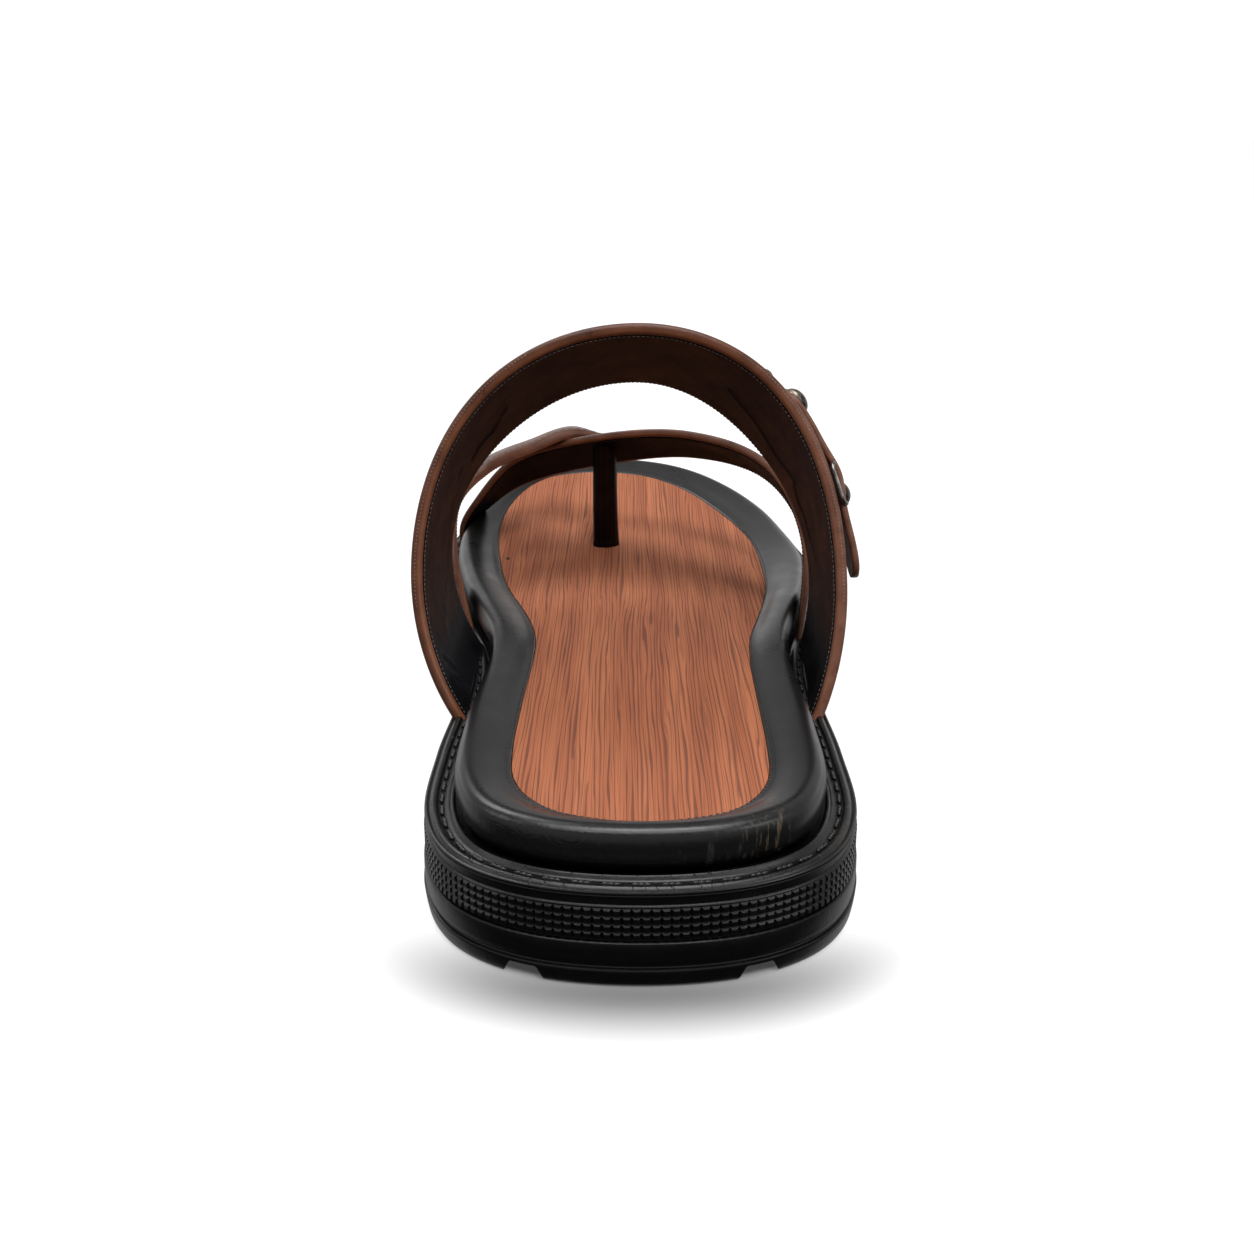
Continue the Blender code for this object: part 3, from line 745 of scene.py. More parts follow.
@dataclass(frozen=True)
class Last:
    """The sandal's outline in plan and its heights along the foot."""

    heel_tip: Pair = (0.0, 6.3)
    toe_tip: Pair = (-9.5, 292.8)
    stations: Rows = (
        # y, inner side x, outer side x
        (9.6, -20.0, 20.0), (18.0, -31.6, 31.8), (33.0, -37.6, 37.8), (62.0, -38.8, 39.0),
        (102.0, -37.2, 38.0), (124.0, -38.8, 39.7), (148.0, -44.3, 44.2), (176.0, -51.0, 49.6),
        (203.0, -55.6, 51.9), (225.0, -56.6, 49.3), (248.0, -53.2, 43.9), (268.0, -46.2, 34.2),
        (282.5, -34.8, 21.6), (290.0, -23.0, 8.0),
    )
    sock_heel: Pair = (0.3, 15.0)
    sock_toe: Pair = (-13.0, 282.0)
    sock_stations: Rows = (
        # y, inner side x, outer side x
        (18.5, -14.3, 15.2), (22.0, -19.0, 19.9), (25.6, -21.9, 22.5), (29.2, -24.0, 24.4),
        (36.8, -26.2, 26.5), (48.8, -27.0, 27.2), (66.4, -27.0, 27.4), (86.0, -26.5, 27.5),
        (102.1, -26.0, 27.8), (120.5, -26.4, 29.3), (134.7, -28.6, 32.0), (150.5, -32.4, 35.0),
        (167.5, -36.8, 37.5), (185.1, -40.2, 38.5), (202.4, -42.5, 38.5), (219.8, -44.3, 37.4),
        (236.0, -45.0, 33.6), (250.7, -43.7, 27.6), (264.4, -40.0, 19.8), (273.0, -35.4, 12.0),
        (279.0, -28.5, 3.0),
    )
    side_steps: int = 210
    arch_rise: float = 2.5
    arch_range: Pair = (92.0, 158.0)
    toe_spring: float = 10.8
    spring_start: float = 205.0
    toe_end: float = 298.0
    heel_thickness: float = 20.3
    ball_thickness: float = 17.5
    taper_range: Pair = (105.0, 195.0)
    insole_lift: float = 1.2
    insole_lift_range: Pair = (230.0, 288.0)
    rim_turn: float = 5.0
    sock_inset: float = 10.4
    welt_width: float = 7.4
    parting_level: float = 4.3
    band_top_level: float = 16.6

    def closed(self, heel: tuple, toe: tuple, stations: tuple) -> np.ndarray:
        """A closed outline at even steps up the inner side and back down the outer side.

        Args:
            heel: its first point.
            toe: its foremost point.
            stations: rows of y, inner side x and outer side x.

        Returns:
            Points in plan.
        """
        fine = 40
        inner = [(row[1], row[0]) for row in stations]
        outer = [(row[2], row[0]) for row in reversed(stations)]
        curve = spline([heel] + inner + [toe] + outer, fine, closed=True)
        turn = fine * (len(inner) + 1)
        first = even_steps(curve[: turn + 1], self.side_steps)
        second = even_steps(np.vstack([curve[turn:], curve[:1]]), self.side_steps)
        return np.vstack([first[:-1], second[:-1]])

    @cached_property
    def outline(self) -> np.ndarray:
        """The footbed's outline."""
        return self.closed(self.heel_tip, self.toe_tip, self.stations)

    @cached_property
    def sock_edge(self) -> np.ndarray:
        """The sock's outline."""
        return self.closed(self.sock_heel, self.sock_toe, self.sock_stations)

    @cached_property
    def outward(self) -> np.ndarray:
        """Outward directions in plan along the outline."""
        tangents = np.roll(self.outline, -1, axis=0) - np.roll(self.outline, 1, axis=0)
        return unit(np.stack([-tangents[:, 1], tangents[:, 0]], axis=1))

    def inset(self, amount: float) -> np.ndarray:
        """The footbed's outline moved inwards."""
        return self.outline - self.outward * amount

    def spring(self, y: np.ndarray) -> np.ndarray:
        """Rise of the sole at the toe."""
        along = (np.asarray(y, float) - self.spring_start) / (self.toe_end - self.spring_start)
        return self.toe_spring * np.clip(along, 0.0, 1.1) ** 2

    def ground(self, y: np.ndarray) -> np.ndarray:
        """Height of the tread above the floor."""
        along = (np.asarray(y, float) - self.arch_range[0]) / np.ptp(self.arch_range)
        return self.arch_rise * np.sin(math.pi * np.clip(along, 0.0, 1.0)) ** 2 + self.spring(y)

    def welt(self, y: np.ndarray) -> np.ndarray:
        """Height of the welt's top above the floor."""
        taper = (self.ball_thickness - self.heel_thickness) * smooth_step(y, *self.taper_range)
        return self.spring(y) + self.heel_thickness + taper

    def side_height(self, y: np.ndarray, level: float) -> np.ndarray:
        """Height of a level of the outsole's side, whose band stretches with the sole.

        Args:
            y: places along the foot.
            level: the height at the heel.

        Returns:
            The heights above the floor.
        """
        if level <= self.parting_level:
            return self.ground(y) + level
        if level >= self.band_top_level:
            return self.welt(y) + level - self.heel_thickness
        low = self.ground(y) + self.parting_level
        high = self.welt(y) + self.band_top_level - self.heel_thickness
        share = (level - self.parting_level) / (self.band_top_level - self.parting_level)
        return low + share * (high - low)

    def side_ring(self, inset: float, level: float) -> np.ndarray:
        """A ring of the outsole at an inset from its own outline and a level at the heel."""
        plan = self.inset(inset - self.welt_width)
        return np.column_stack([plan, self.side_height(plan[:, 1], level)])

    def bed_ring(self, inset: float, height: float) -> np.ndarray:
        """A ring of the footbed, from the footbed's outline in to the sock's edge.

        Args:
            inset: distance from the footbed's outline.
            height: height above the welt.

        Returns:
            Points round the footbed.
        """
        share = max(0.0, (inset - self.rim_turn) / (self.sock_inset - self.rim_turn))
        plan = self.inset(min(inset, self.rim_turn))
        plan = plan + (self.sock_edge - plan) * share
        lift = share * self.insole_lift * smooth_step(plan[:, 1], *self.insole_lift_range)
        return np.column_stack([plan, self.welt(plan[:, 1]) + height + lift])

    def beside(self, y: float, side: Side, gap: float) -> Pair:
        """A point in plan beside the footbed's outline.

        Args:
            y: the place along the foot.
            side: the side of the foot.
            gap: distance from the outline.

        Returns:
            The point.
        """
        ring = self.inset(-gap)
        half = ring[: self.side_steps] if side is Side.INNER else ring[self.side_steps :][::-1]
        return float(np.interp(y, half[:, 1], half[:, 0])), y


LAST = Last()


@dataclass
class Outsole:
    """The rubber outsole with its tread, side steps, knurled band and welt."""

    side: Rows = (
        # inset from the outsole's outline, level at the heel
        (2.4, 0.0), (1.5, 0.03), (0.95, 0.3), (0.6, 0.9), (0.4, 2.0), (0.25, 3.2), (0.2, 3.75),
        (0.35, 4.0), (0.9, 4.15), (1.0, 4.35), (0.75, 4.6), (0.5, 5.0), (0.42, 6.0), (0.42, 7.6),
        (0.45, 9.1), (0.55, 9.45), (0.8, 9.6), (1.45, 9.7), (1.6, 10.1), (1.65, 16.25), (1.4, 16.5),
        (1.05, 16.62), (1.0, 16.85), (1.15, 17.05), (1.4, 17.2), (1.42, 18.7), (1.25, 18.9),
        (1.0, 19.0), (0.92, 19.15), (0.98, 19.28), (1.2, 19.34), (1.22, 19.46), (1.02, 19.54),
        (0.98, 19.72), (1.12, 19.9), (1.4, 19.96), (1.62, 19.82), (1.85, 19.72), (2.05, 19.95),
        (2.35, 20.25), (2.8, 20.38), (3.3, 20.32), (3.6, 20.05), (3.85, 19.65), (4.3, 19.5),
        (5.2, 19.5), (5.8, 19.55), (6.15, 19.8), (6.4, 20.25), (6.7, 20.45), (7.0, 20.4),
        (7.2, 20.15), (7.6, 20.0), (8.4, 19.9), (8.5, 18.4),
    )
    groove_section: Rows = (
        # half width, height above the tread
        (6.6, -6.0), (5.2, -0.5), (4.6, 0.05), (4.1, 0.5), (2.9, 2.9), (2.5, 3.2),
    )
    grooves: Rows = (
        # middle x, middle y, length, turn in degrees
        (-21.0, 10.0, 26.0, 78.0), (21.0, 10.0, 26.0, 102.0), (0.0, 36.0, 110.0, 0.0),
        (0.0, 64.0, 110.0, 0.0), (-2.0, 165.0, 140.0, 4.0), (-2.0, 191.0, 140.0, 6.0),
        (-4.0, 217.0, 140.0, 8.0), (-6.0, 243.0, 140.0, 10.0), (-8.0, 268.0, 120.0, 12.0),
    )
    knurl_rows: int = 4
    knurl_levels: Pair = (9.95, 16.6)
    knurl_pitch: float = 1.84
    knurl_inset: float = 1.15
    knurl_back: float = 3.0
    knurl_slope: float = 0.44
    knurl_height: float = 0.43
    knurl_crease: float = 20.0
    stitch_inset: float = 4.55
    stitch_level: float = 19.75
    stitch_pitch: float = 5.7
    strands: int = 3
    strand_gap: float = 1.15
    strand_turn: float = 16.0
    strand_size: Triple = (0.85, 0.46, 0.42)
    ridge_insets: Rows = ((2.05, 3.6), (6.4, 7.0))
    ridge_level: float = 19.0

    def groove(self, row: tuple[float, float, float, float]) -> bpy.types.Object:
        """A bar with sloping sides that cuts one tread groove.

        Args:
            row: its middle, length and turn.

        Returns:
            The bar, which is taken out again after the cut.
        """
        x, y, length, turn = row
        section = list(self.groove_section)
        section += [(-width, height) for width, height in reversed(self.groove_section)]
        bm = bmesh.new()
        loop = [bm.verts.new((-length / 2.0, width, height)) for width, height in section]
        face = bm.faces.new(loop)
        bar = bmesh.ops.extrude_face_region(bm, geom=[face])["geom"]
        moved = [part for part in bar if isinstance(part, bmesh.types.BMVert)]
        bmesh.ops.translate(bm, verts=moved, vec=(length, 0.0, 0.0))
        bmesh.ops.recalc_face_normals(bm, faces=bm.faces)
        tilt = math.atan2(float(LAST.ground(y + 1.0) - LAST.ground(y - 1.0)), 2.0)
        turned = Matrix.Rotation(tilt, 4, "X") @ Matrix.Rotation(math.radians(turn), 4, "Z")
        middle = Vector(shared((x, y, float(LAST.ground(y)))))
        place = Matrix.Translation(middle) @ turned @ Matrix.Scale(MM, 4)
        bmesh.ops.transform(bm, matrix=place, verts=bm.verts)
        return as_object(bm, "groove")

    def body(self, material: Material) -> None:
        """Make the moulding and cut its tread.

        Args:
            material: the moulding's material.
        """
        rings = np.array([LAST.side_ring(inset, level) for inset, level in self.side])
        blank = as_object(skin(rings), "uncut")
        bars = [self.groove(row) for row in self.grooves]
        for bar in bars:
            cut = blank.modifiers.new("cut", "BOOLEAN")
            cut.operation = "DIFFERENCE"
            cut.solver = "EXACT"
            cut.object = bar
        cut_mesh = blank.evaluated_get(bpy.context.evaluated_depsgraph_get()).to_mesh()
        bm = bmesh.new()
        bm.from_mesh(cut_mesh)
        for part in [blank] + bars:
            bpy.data.objects.remove(part, do_unlink=True)
        show(bm, "outsole_rubber", material, ("outsole",))

    def knurl(self, material: Material) -> None:
        """Make the band of small square studs round the outsole's side.

        Args:
            material: the band's material.
        """
        levels = np.linspace(*self.knurl_levels, self.knurl_rows + 1)
        rows = [(self.knurl_inset, level) for level in levels]
        rows += [(self.knurl_back, level) for level in self.knurl_levels[::-1]]
        outer = LAST.side_ring(*rows[0])
        around = run_lengths(np.vstack([outer, outer[:1]]))
        count = round(around[-1] / self.knurl_pitch)
        places = np.linspace(0.0, around[-1], count, endpoint=False)
        rings = []
        for row in rows:
            ring = LAST.side_ring(*row)
            ring = np.vstack([ring, ring[:1]])
            rings.append(sample(places, around, ring))
        bm = skin(np.array(rings), tube=True)
        flat = bm.loops.layers.uv.active
        past_studs = (self.knurl_rows + 0.5) / len(rows)
        studs = [
            face for face in bm.faces if max(loop[flat].uv.y for loop in face.loops) < past_studs
        ]
        sizes = {"thickness": self.knurl_slope * MM, "depth": self.knurl_height * MM}
        bmesh.ops.inset_individual(bm, faces=studs, use_even_offset=True, **sizes)
        show(bm, "knurl_band", material, crease=self.knurl_crease)

    def stitches(self, material: Material) -> None:
        """Make the moulded stitches in the welt's channel.

        Args:
            material: the stitches' material.
        """
        points = ring_steps(LAST.side_ring(self.stitch_inset, self.stitch_level), self.stitch_pitch)
        skew = Matrix.Rotation(math.radians(self.strand_turn), 4, "Z")
        spots = []
        for point, after in zip(points, points[1:]):
            along = unit(after - point)
            for strand in range(self.strands):
                middle = point + along * self.strand_gap * (strand - (self.strands - 1) / 2.0)
                spots.append(axes_at(middle, along, UP) @ skew)
        show(beads(spots, self.strand_size, 2), "welt_stitches", material)

    def ridge_rows(self) -> Rows:
        """Where the welt's ridges are on the moulding's UV map.

        Returns:
            Each ridge's first and last share across the map.
        """
        last = len(self.side) - 1
        shares = []
        for low, high in self.ridge_insets:
            rows = [
                row
                for row, (inset, level) in enumerate(self.side)
                if level > self.ridge_level and low <= inset <= high
            ]
            shares.append((min(rows) / last, max(rows) / last))
        return tuple(shares)

    def build(self) -> None:
        """Make the outsole's pieces."""
        self.body(Rubber("cut_rubber", ridges=self.ridge_rows()).material())
        self.knurl(Rubber("knurl_rubber", sheen=0.46).material())
        self.stitches(Thread("worn_stitches", (0.014, 0.014, 0.014), 0.36).material())


@dataclass
class Footbed:
    """The wrapped rim, the wood-look sock and the stitches between them."""

    side: Rows = (
        # inset from the footbed's outline, height above the welt
        (3.5, -1.5), (1.6, 0.2), (0.4, 2.0), (0.0, 4.2), (0.15, 6.5), (0.75, 7.95), (1.8, 8.65),
        (3.4, 8.85), (6.0, 8.25), (8.8, 6.95), (9.9, 6.7), (10.3, 6.3), (10.35, 5.2), (10.2, 0.5),
    )
    row_steps: int = 4
    sock_height: float = 6.85
    sock_drop: float = 0.45
    sock_rounding: float = 2.2
    sock_depth: float = 1.2
    sock_columns: int = 28
    stitch_inset: float = 9.85
    stitch_height: float = 6.66
    stitch_pitch: float = 1.5
    stitch_size: Triple = (0.55, 0.26, 0.2)
    pinhole: Pair = (-39.8, 199.1)
    pinhole_radius: float = 0.6

    def rim(self) -> None:
        """Make the wrapped rim."""
        rows = spline(self.side, self.row_steps)
        rings = np.array([LAST.bed_ring(inset, height) for inset, height in rows])
        show(skin(rings, tube=True), "footbed_rim", RimLeather().material(), ("footbed",))

    def sock(self) -> None:
        """Make the sock sheet as a ladder of rungs from the inner to the outer side."""
        edge = LAST.bed_ring(LAST.sock_inset, self.sock_height)
        steps = LAST.side_steps
        inner = edge[: steps + 1]
        outer = np.vstack([edge[steps:], edge[:1]])[::-1]
        shares = 0.5 - 0.5 * np.cos(np.linspace(0.0, math.pi, self.sock_columns + 1))
        shares = shares[None, :, None]
        rungs = inner[:, None] * (1.0 - shares) + outer[:, None] * shares
        plan = edge[:, :2]
        for row in rungs:
            for point in row:
                gap = float(np.sqrt(np.min(np.sum((plan - point[:2]) ** 2, axis=1))))
                fall = 1.0 - float(smooth_step(gap, 0.0, self.sock_rounding))
                point[2] -= self.sock_drop * fall
        bm = skin(rungs, ring=False, fill=False)
        if sum(face.normal.z for face in bm.faces) < 0.0:
            bmesh.ops.reverse_faces(bm, faces=bm.faces)
        rim = [edge for edge in bm.edges if edge.is_boundary]
        skirt = bmesh.ops.extrude_edge_only(bm, edges=rim)["geom"]
        lower = [part for part in skirt if isinstance(part, bmesh.types.BMVert)]
        bmesh.ops.translate(bm, verts=lower, vec=(0.0, 0.0, -self.sock_depth * MM))
        close(bm)
        show(bm, "sock_sheet", WoodSock().material(), ("insole",))

    def stitches(self) -> None:
        """Make the fine stitches between rim and sock, and the sock's pinhole."""
        thread = Thread("black_thread", (0.006, 0.006, 0.006), 0.5).material()
        points = ring_steps(LAST.bed_ring(self.stitch_inset, self.stitch_height), self.stitch_pitch)
        spots = [axes_at(point, after - point, UP) for point, after in zip(points, points[1:])]
        show(beads(spots, self.stitch_size), "sock_stitches", thread)
        x, y = self.pinhole
        height = float(LAST.welt(y)) + self.sock_height
        spot = axes_at((x, y, height), (1.0, 0.0, 0.0), UP)
        show(beads([spot], (self.pinhole_radius,) * 3, 3), "sock_pinhole", thread)

    def build(self) -> None:
        """Make the footbed's pieces."""
        self.rim()
        self.sock()
        self.stitches()


# Straps


@dataclass(frozen=True)
class Crease:
    """A soft ridge or trough on a lining, through places along and across the strap."""

    places: Rows
    height: float
    width: float


@dataclass(frozen=True)
class Trim:
    """Sizes of a strap's lining and of the stitches on its two faces."""

    margin: float
    proud: float
    columns: int
    inner_pitch: float
    inner_size: Triple
    outer_size: Triple
    outer_inset: float
    outer_lift: float
    inner_inset: float = 0.3
    outer_pitch: float = 2.6


@dataclass
class Strap:
    """A strap with round edges, from the edges of its outer face."""

    name: str
    rear: np.ndarray
    front: np.ndarray
    thickness: float
    crown: float = 0.0
    foot_share: float = 1.0
    foot_length: float = 26.0
    edge_steps: int = 8
    face_steps: int = 14
    lining_edge: Pair = (-0.15, 0.35)
    lining_sink: float = 0.25
    crease_steps: int = 10
    across: np.ndarray = field(init=False)
    along: np.ndarray = field(init=False)
    normal: np.ndarray = field(init=False)
    width: np.ndarray = field(init=False)
    run: np.ndarray = field(init=False)
    depth: np.ndarray = field(init=False)

    def __post_init__(self) -> None:
        """Work out the strap's directions, lengths and thicknesses."""
        across = self.front - self.rear
        self.width = np.linalg.norm(across, axis=1)
        self.across = across / self.width[:, None]
        middle = (self.rear + self.front) / 2.0
        self.along = unit(np.gradient(middle, axis=0))
        self.normal = unit(np.cross(self.along, self.across))
        self.run = run_lengths(middle)
        from_foot = np.minimum(self.run, self.run[-1] - self.run)
        full = smooth_step(from_foot, 0.0, self.foot_length)
        self.depth = self.thickness * (self.foot_share + (1.0 - self.foot_share) * full)

    def points(self, insets: np.ndarray, lifts: np.ndarray) -> np.ndarray:
        """Points over the strap.

        Args:
            insets: distances from the rear edge, one row for each section.
            lifts: heights above the outer face's edges, one row for each section.

        Returns:
            An array of sections, points and coordinates.
        """
        share = np.clip(insets / self.width[:, None], 0.0, 1.0)
        lifts = lifts + self.crown * np.sin(math.pi * share)
        return (
            self.rear[:, None]
            + self.across[:, None] * insets[..., None]
            + self.normal[:, None] * lifts[..., None]
        )

    def body(self) -> np.ndarray:
        """Sections of the strap, round its rear edge, inner face, front edge and outer face.

        Returns:
            An array of sections, points and coordinates.
        """
        radius = self.depth[:, None] / 2.0
        turns = np.linspace(0.0, math.pi, self.edge_steps + 1)
        shares = np.linspace(0.0, 1.0, self.face_steps + 1)[1:-1]
        width = self.width[:, None]
        insets = np.hstack([
            radius - radius * np.sin(turns),
            radius + (width - 2.0 * radius) * shares,
            width - radius + radius * np.sin(turns),
            radius + (width - 2.0 * radius) * shares[::-1],
        ])
        lifts = np.hstack([
            radius * np.cos(turns) - radius,
            radius * np.full(len(shares), -2.0),
            radius * np.cos(turns[::-1]) - radius,
            radius * np.zeros(len(shares)),
        ])
        return self.points(insets, lifts)

    def fold_shares(self) -> Rows:
        """Where the edges' inner halves are round the strap, on its UV map.

        Returns:
            Each inner half's first and last share across the map.
        """
        spans = 2 * (self.edge_steps + 1) + 2 * (self.face_steps - 1)
        front = self.edge_steps + self.face_steps
        half = self.edge_steps * 0.5
        return ((half / spans, self.edge_steps / spans), (front / spans, (front + half) / spans))

    def lining(self, trim: Trim, creases: tuple[Crease, ...]) -> np.ndarray:
        """Sections of a thin lining on the inner face.

        Args:
            trim: its distance from the strap's edges, its height and its steps across.
            creases: ridges and troughs, by distance along the strap and share across it.

        Returns:
            An array of sections, points and coordinates.
        """
        shares = np.linspace(0.0, 1.0, trim.columns + 1)
        width = self.width[:, None]
        insets = trim.margin + (width - 2.0 * trim.margin) * shares
        from_edge = np.minimum(insets - trim.margin, width - trim.margin - insets)
        lifts = -self.depth[:, None] - trim.proud * smooth_step(from_edge, *self.lining_edge)
        for crease in creases:
            along, share = spline(crease.places, self.crease_steps).T
            line = np.column_stack([along, np.interp(along, self.run, self.width) * share])
            flat = np.stack([np.broadcast_to(self.run[:, None], insets.shape), insets], axis=-1)
            gaps = np.full(insets.shape, 1e9)
            for start, end in zip(line, line[1:]):
                step = end - start
                share = np.clip(((flat - start) @ step) / max(float(step @ step), 1e-9), 0.0, 1.0)
                nearest = start + share[..., None] * step
                gaps = np.minimum(gaps, np.linalg.norm(flat - nearest, axis=-1))
            lifts = lifts - crease.height * np.exp(-((gaps / crease.width) ** 2))
        back = self.lining_sink - self.depth[:, None]
        insets = np.hstack([insets, insets[:, -1:], insets[:, :1]])
        return self.points(insets, np.hstack([lifts, back, back]))

    def rows(
        self,
        inset: float,
        lift: float,
        pitch: float,
        inside: bool = False,
        reach: Pair = (0.0, 1.0),
    ) -> list[Matrix]:
        """Places at an even pitch along the strap.

        Args:
            inset: distance from the rear edge, or from the front edge where it is negative.
            lift: height above the outer face's edges, or off the inner face.
            pitch: distance between places.
            inside: whether the places are on the inner face.
            reach: the stretch of the strap that is used, as shares of its length.

        Returns:
            A matrix for each place, with X along the row and Z off the face.
        """
        insets = self.width + inset if inset < 0.0 else np.full(len(self.width), inset)
        lifts = -self.depth - lift if inside else np.full(len(self.width), lift)
        line = self.points(insets[:, None], lifts[:, None])[:, 0]
        lengths = run_lengths(line)
        low, high = (share * lengths[-1] for share in reach)
        places = np.arange(low + pitch / 2.0, high, pitch)
        parts = (line, np.gradient(line, axis=0), self.normal)
        return [axes_at(*spot) for spot in zip(*(sample(places, lengths, part) for part in parts))]

    def dress(
        self,
        trim: Trim,
        faces: tuple[Material, Material],
        threads: tuple[Material, Material],
        replaces: tuple[str, ...] = (),
        creases: tuple[Crease, ...] = (),
    ) -> None:
        """Make the leather, the lining, and the stitches on both faces.

        Args:
            trim: sizes of the lining and the stitches.
            faces: materials of the leather and the lining.
            threads: materials of the inner and the outer stitches.
            replaces: the solids that the strap stands for.
            creases: ridges and troughs of the lining.
        """
        show(skin(self.body()), f"{self.name}_leather", faces[0], replaces)
        show(skin(self.lining(trim, creases)), f"{self.name}_lining", faces[1])
        inner = (trim.proud, trim.inner_pitch, True)
        outer = (trim.outer_lift, trim.outer_pitch, False)
        seams = (
            ("stitches", trim.inner_inset, inner, trim.inner_size),
            ("outer_stitches", trim.outer_inset, outer, trim.outer_size),
        )
        for (kind, inset, row, size), thread in zip(seams, threads):
            inset += trim.margin
            spots = self.rows(inset, *row) + self.rows(-inset, *row)
            show(beads(spots, size), f"{self.name}_{kind}", thread)


@dataclass(frozen=True)
class Arch:
    """An edge of the instep strap's outer face: two half ellipses with full or flat shoulders."""

    top_x: float
    top_y: float
    top_z: float
    base_y: float
    inner_reach: float
    outer_reach: float
    inner_foot: float
    outer_foot: float
    inner_shoulder: float
    outer_shoulder: float

    def half(self, side: Side, sink: float) -> Triple:
        """Half width, rise and end angle of one side, which ends at a depth below the welt.

        Args:
            side: the side of the foot.
            sink: depth of its end below the welt.

        Returns:
            The half width, the rise and the angle.
        """
        reach = self.inner_reach if side is Side.INNER else self.outer_reach
        foot = self.inner_foot if side is Side.INNER else self.outer_foot
        half_width = abs(reach - self.top_x)
        base_z = float(LAST.welt(self.base_y))
        base = math.pi - math.asin(abs(foot - self.top_x) / half_width)
        rise = (self.top_z - base_z) / (1.0 - math.cos(base))
        return half_width, rise, math.acos((base_z - sink - self.top_z) / rise + 1.0)

    def point(self, share: float, sink: float) -> np.ndarray:
        """A point from -1 at the inner foot over the top to 1 at the outer foot.

        Args:
            share: the place along the edge.
            sink: depth of its ends below the welt.

        Returns:
            The point.
        """
        side = Side.INNER if share < 0.0 else Side.OUTER
        half_width, rise, sunk = self.half(side, sink)
        angle = abs(share) * sunk
        shoulder = self.inner_shoulder if side is Side.INNER else self.outer_shoulder
        bulge = shoulder * math.sin(2.0 * angle) ** 2 if angle < math.pi / 2.0 else 0.0
        x = self.top_x + side.value * (half_width + bulge) * math.sin(angle)
        z = self.top_z - rise * (1.0 - math.cos(angle)) + bulge * math.cos(angle)
        base_z = float(LAST.welt(self.base_y))
        y = self.base_y + (self.top_y - self.base_y) * (z - base_z) / (self.top_z - base_z)
        return np.array((x, y, z))


STRAP_SINK = 2.6


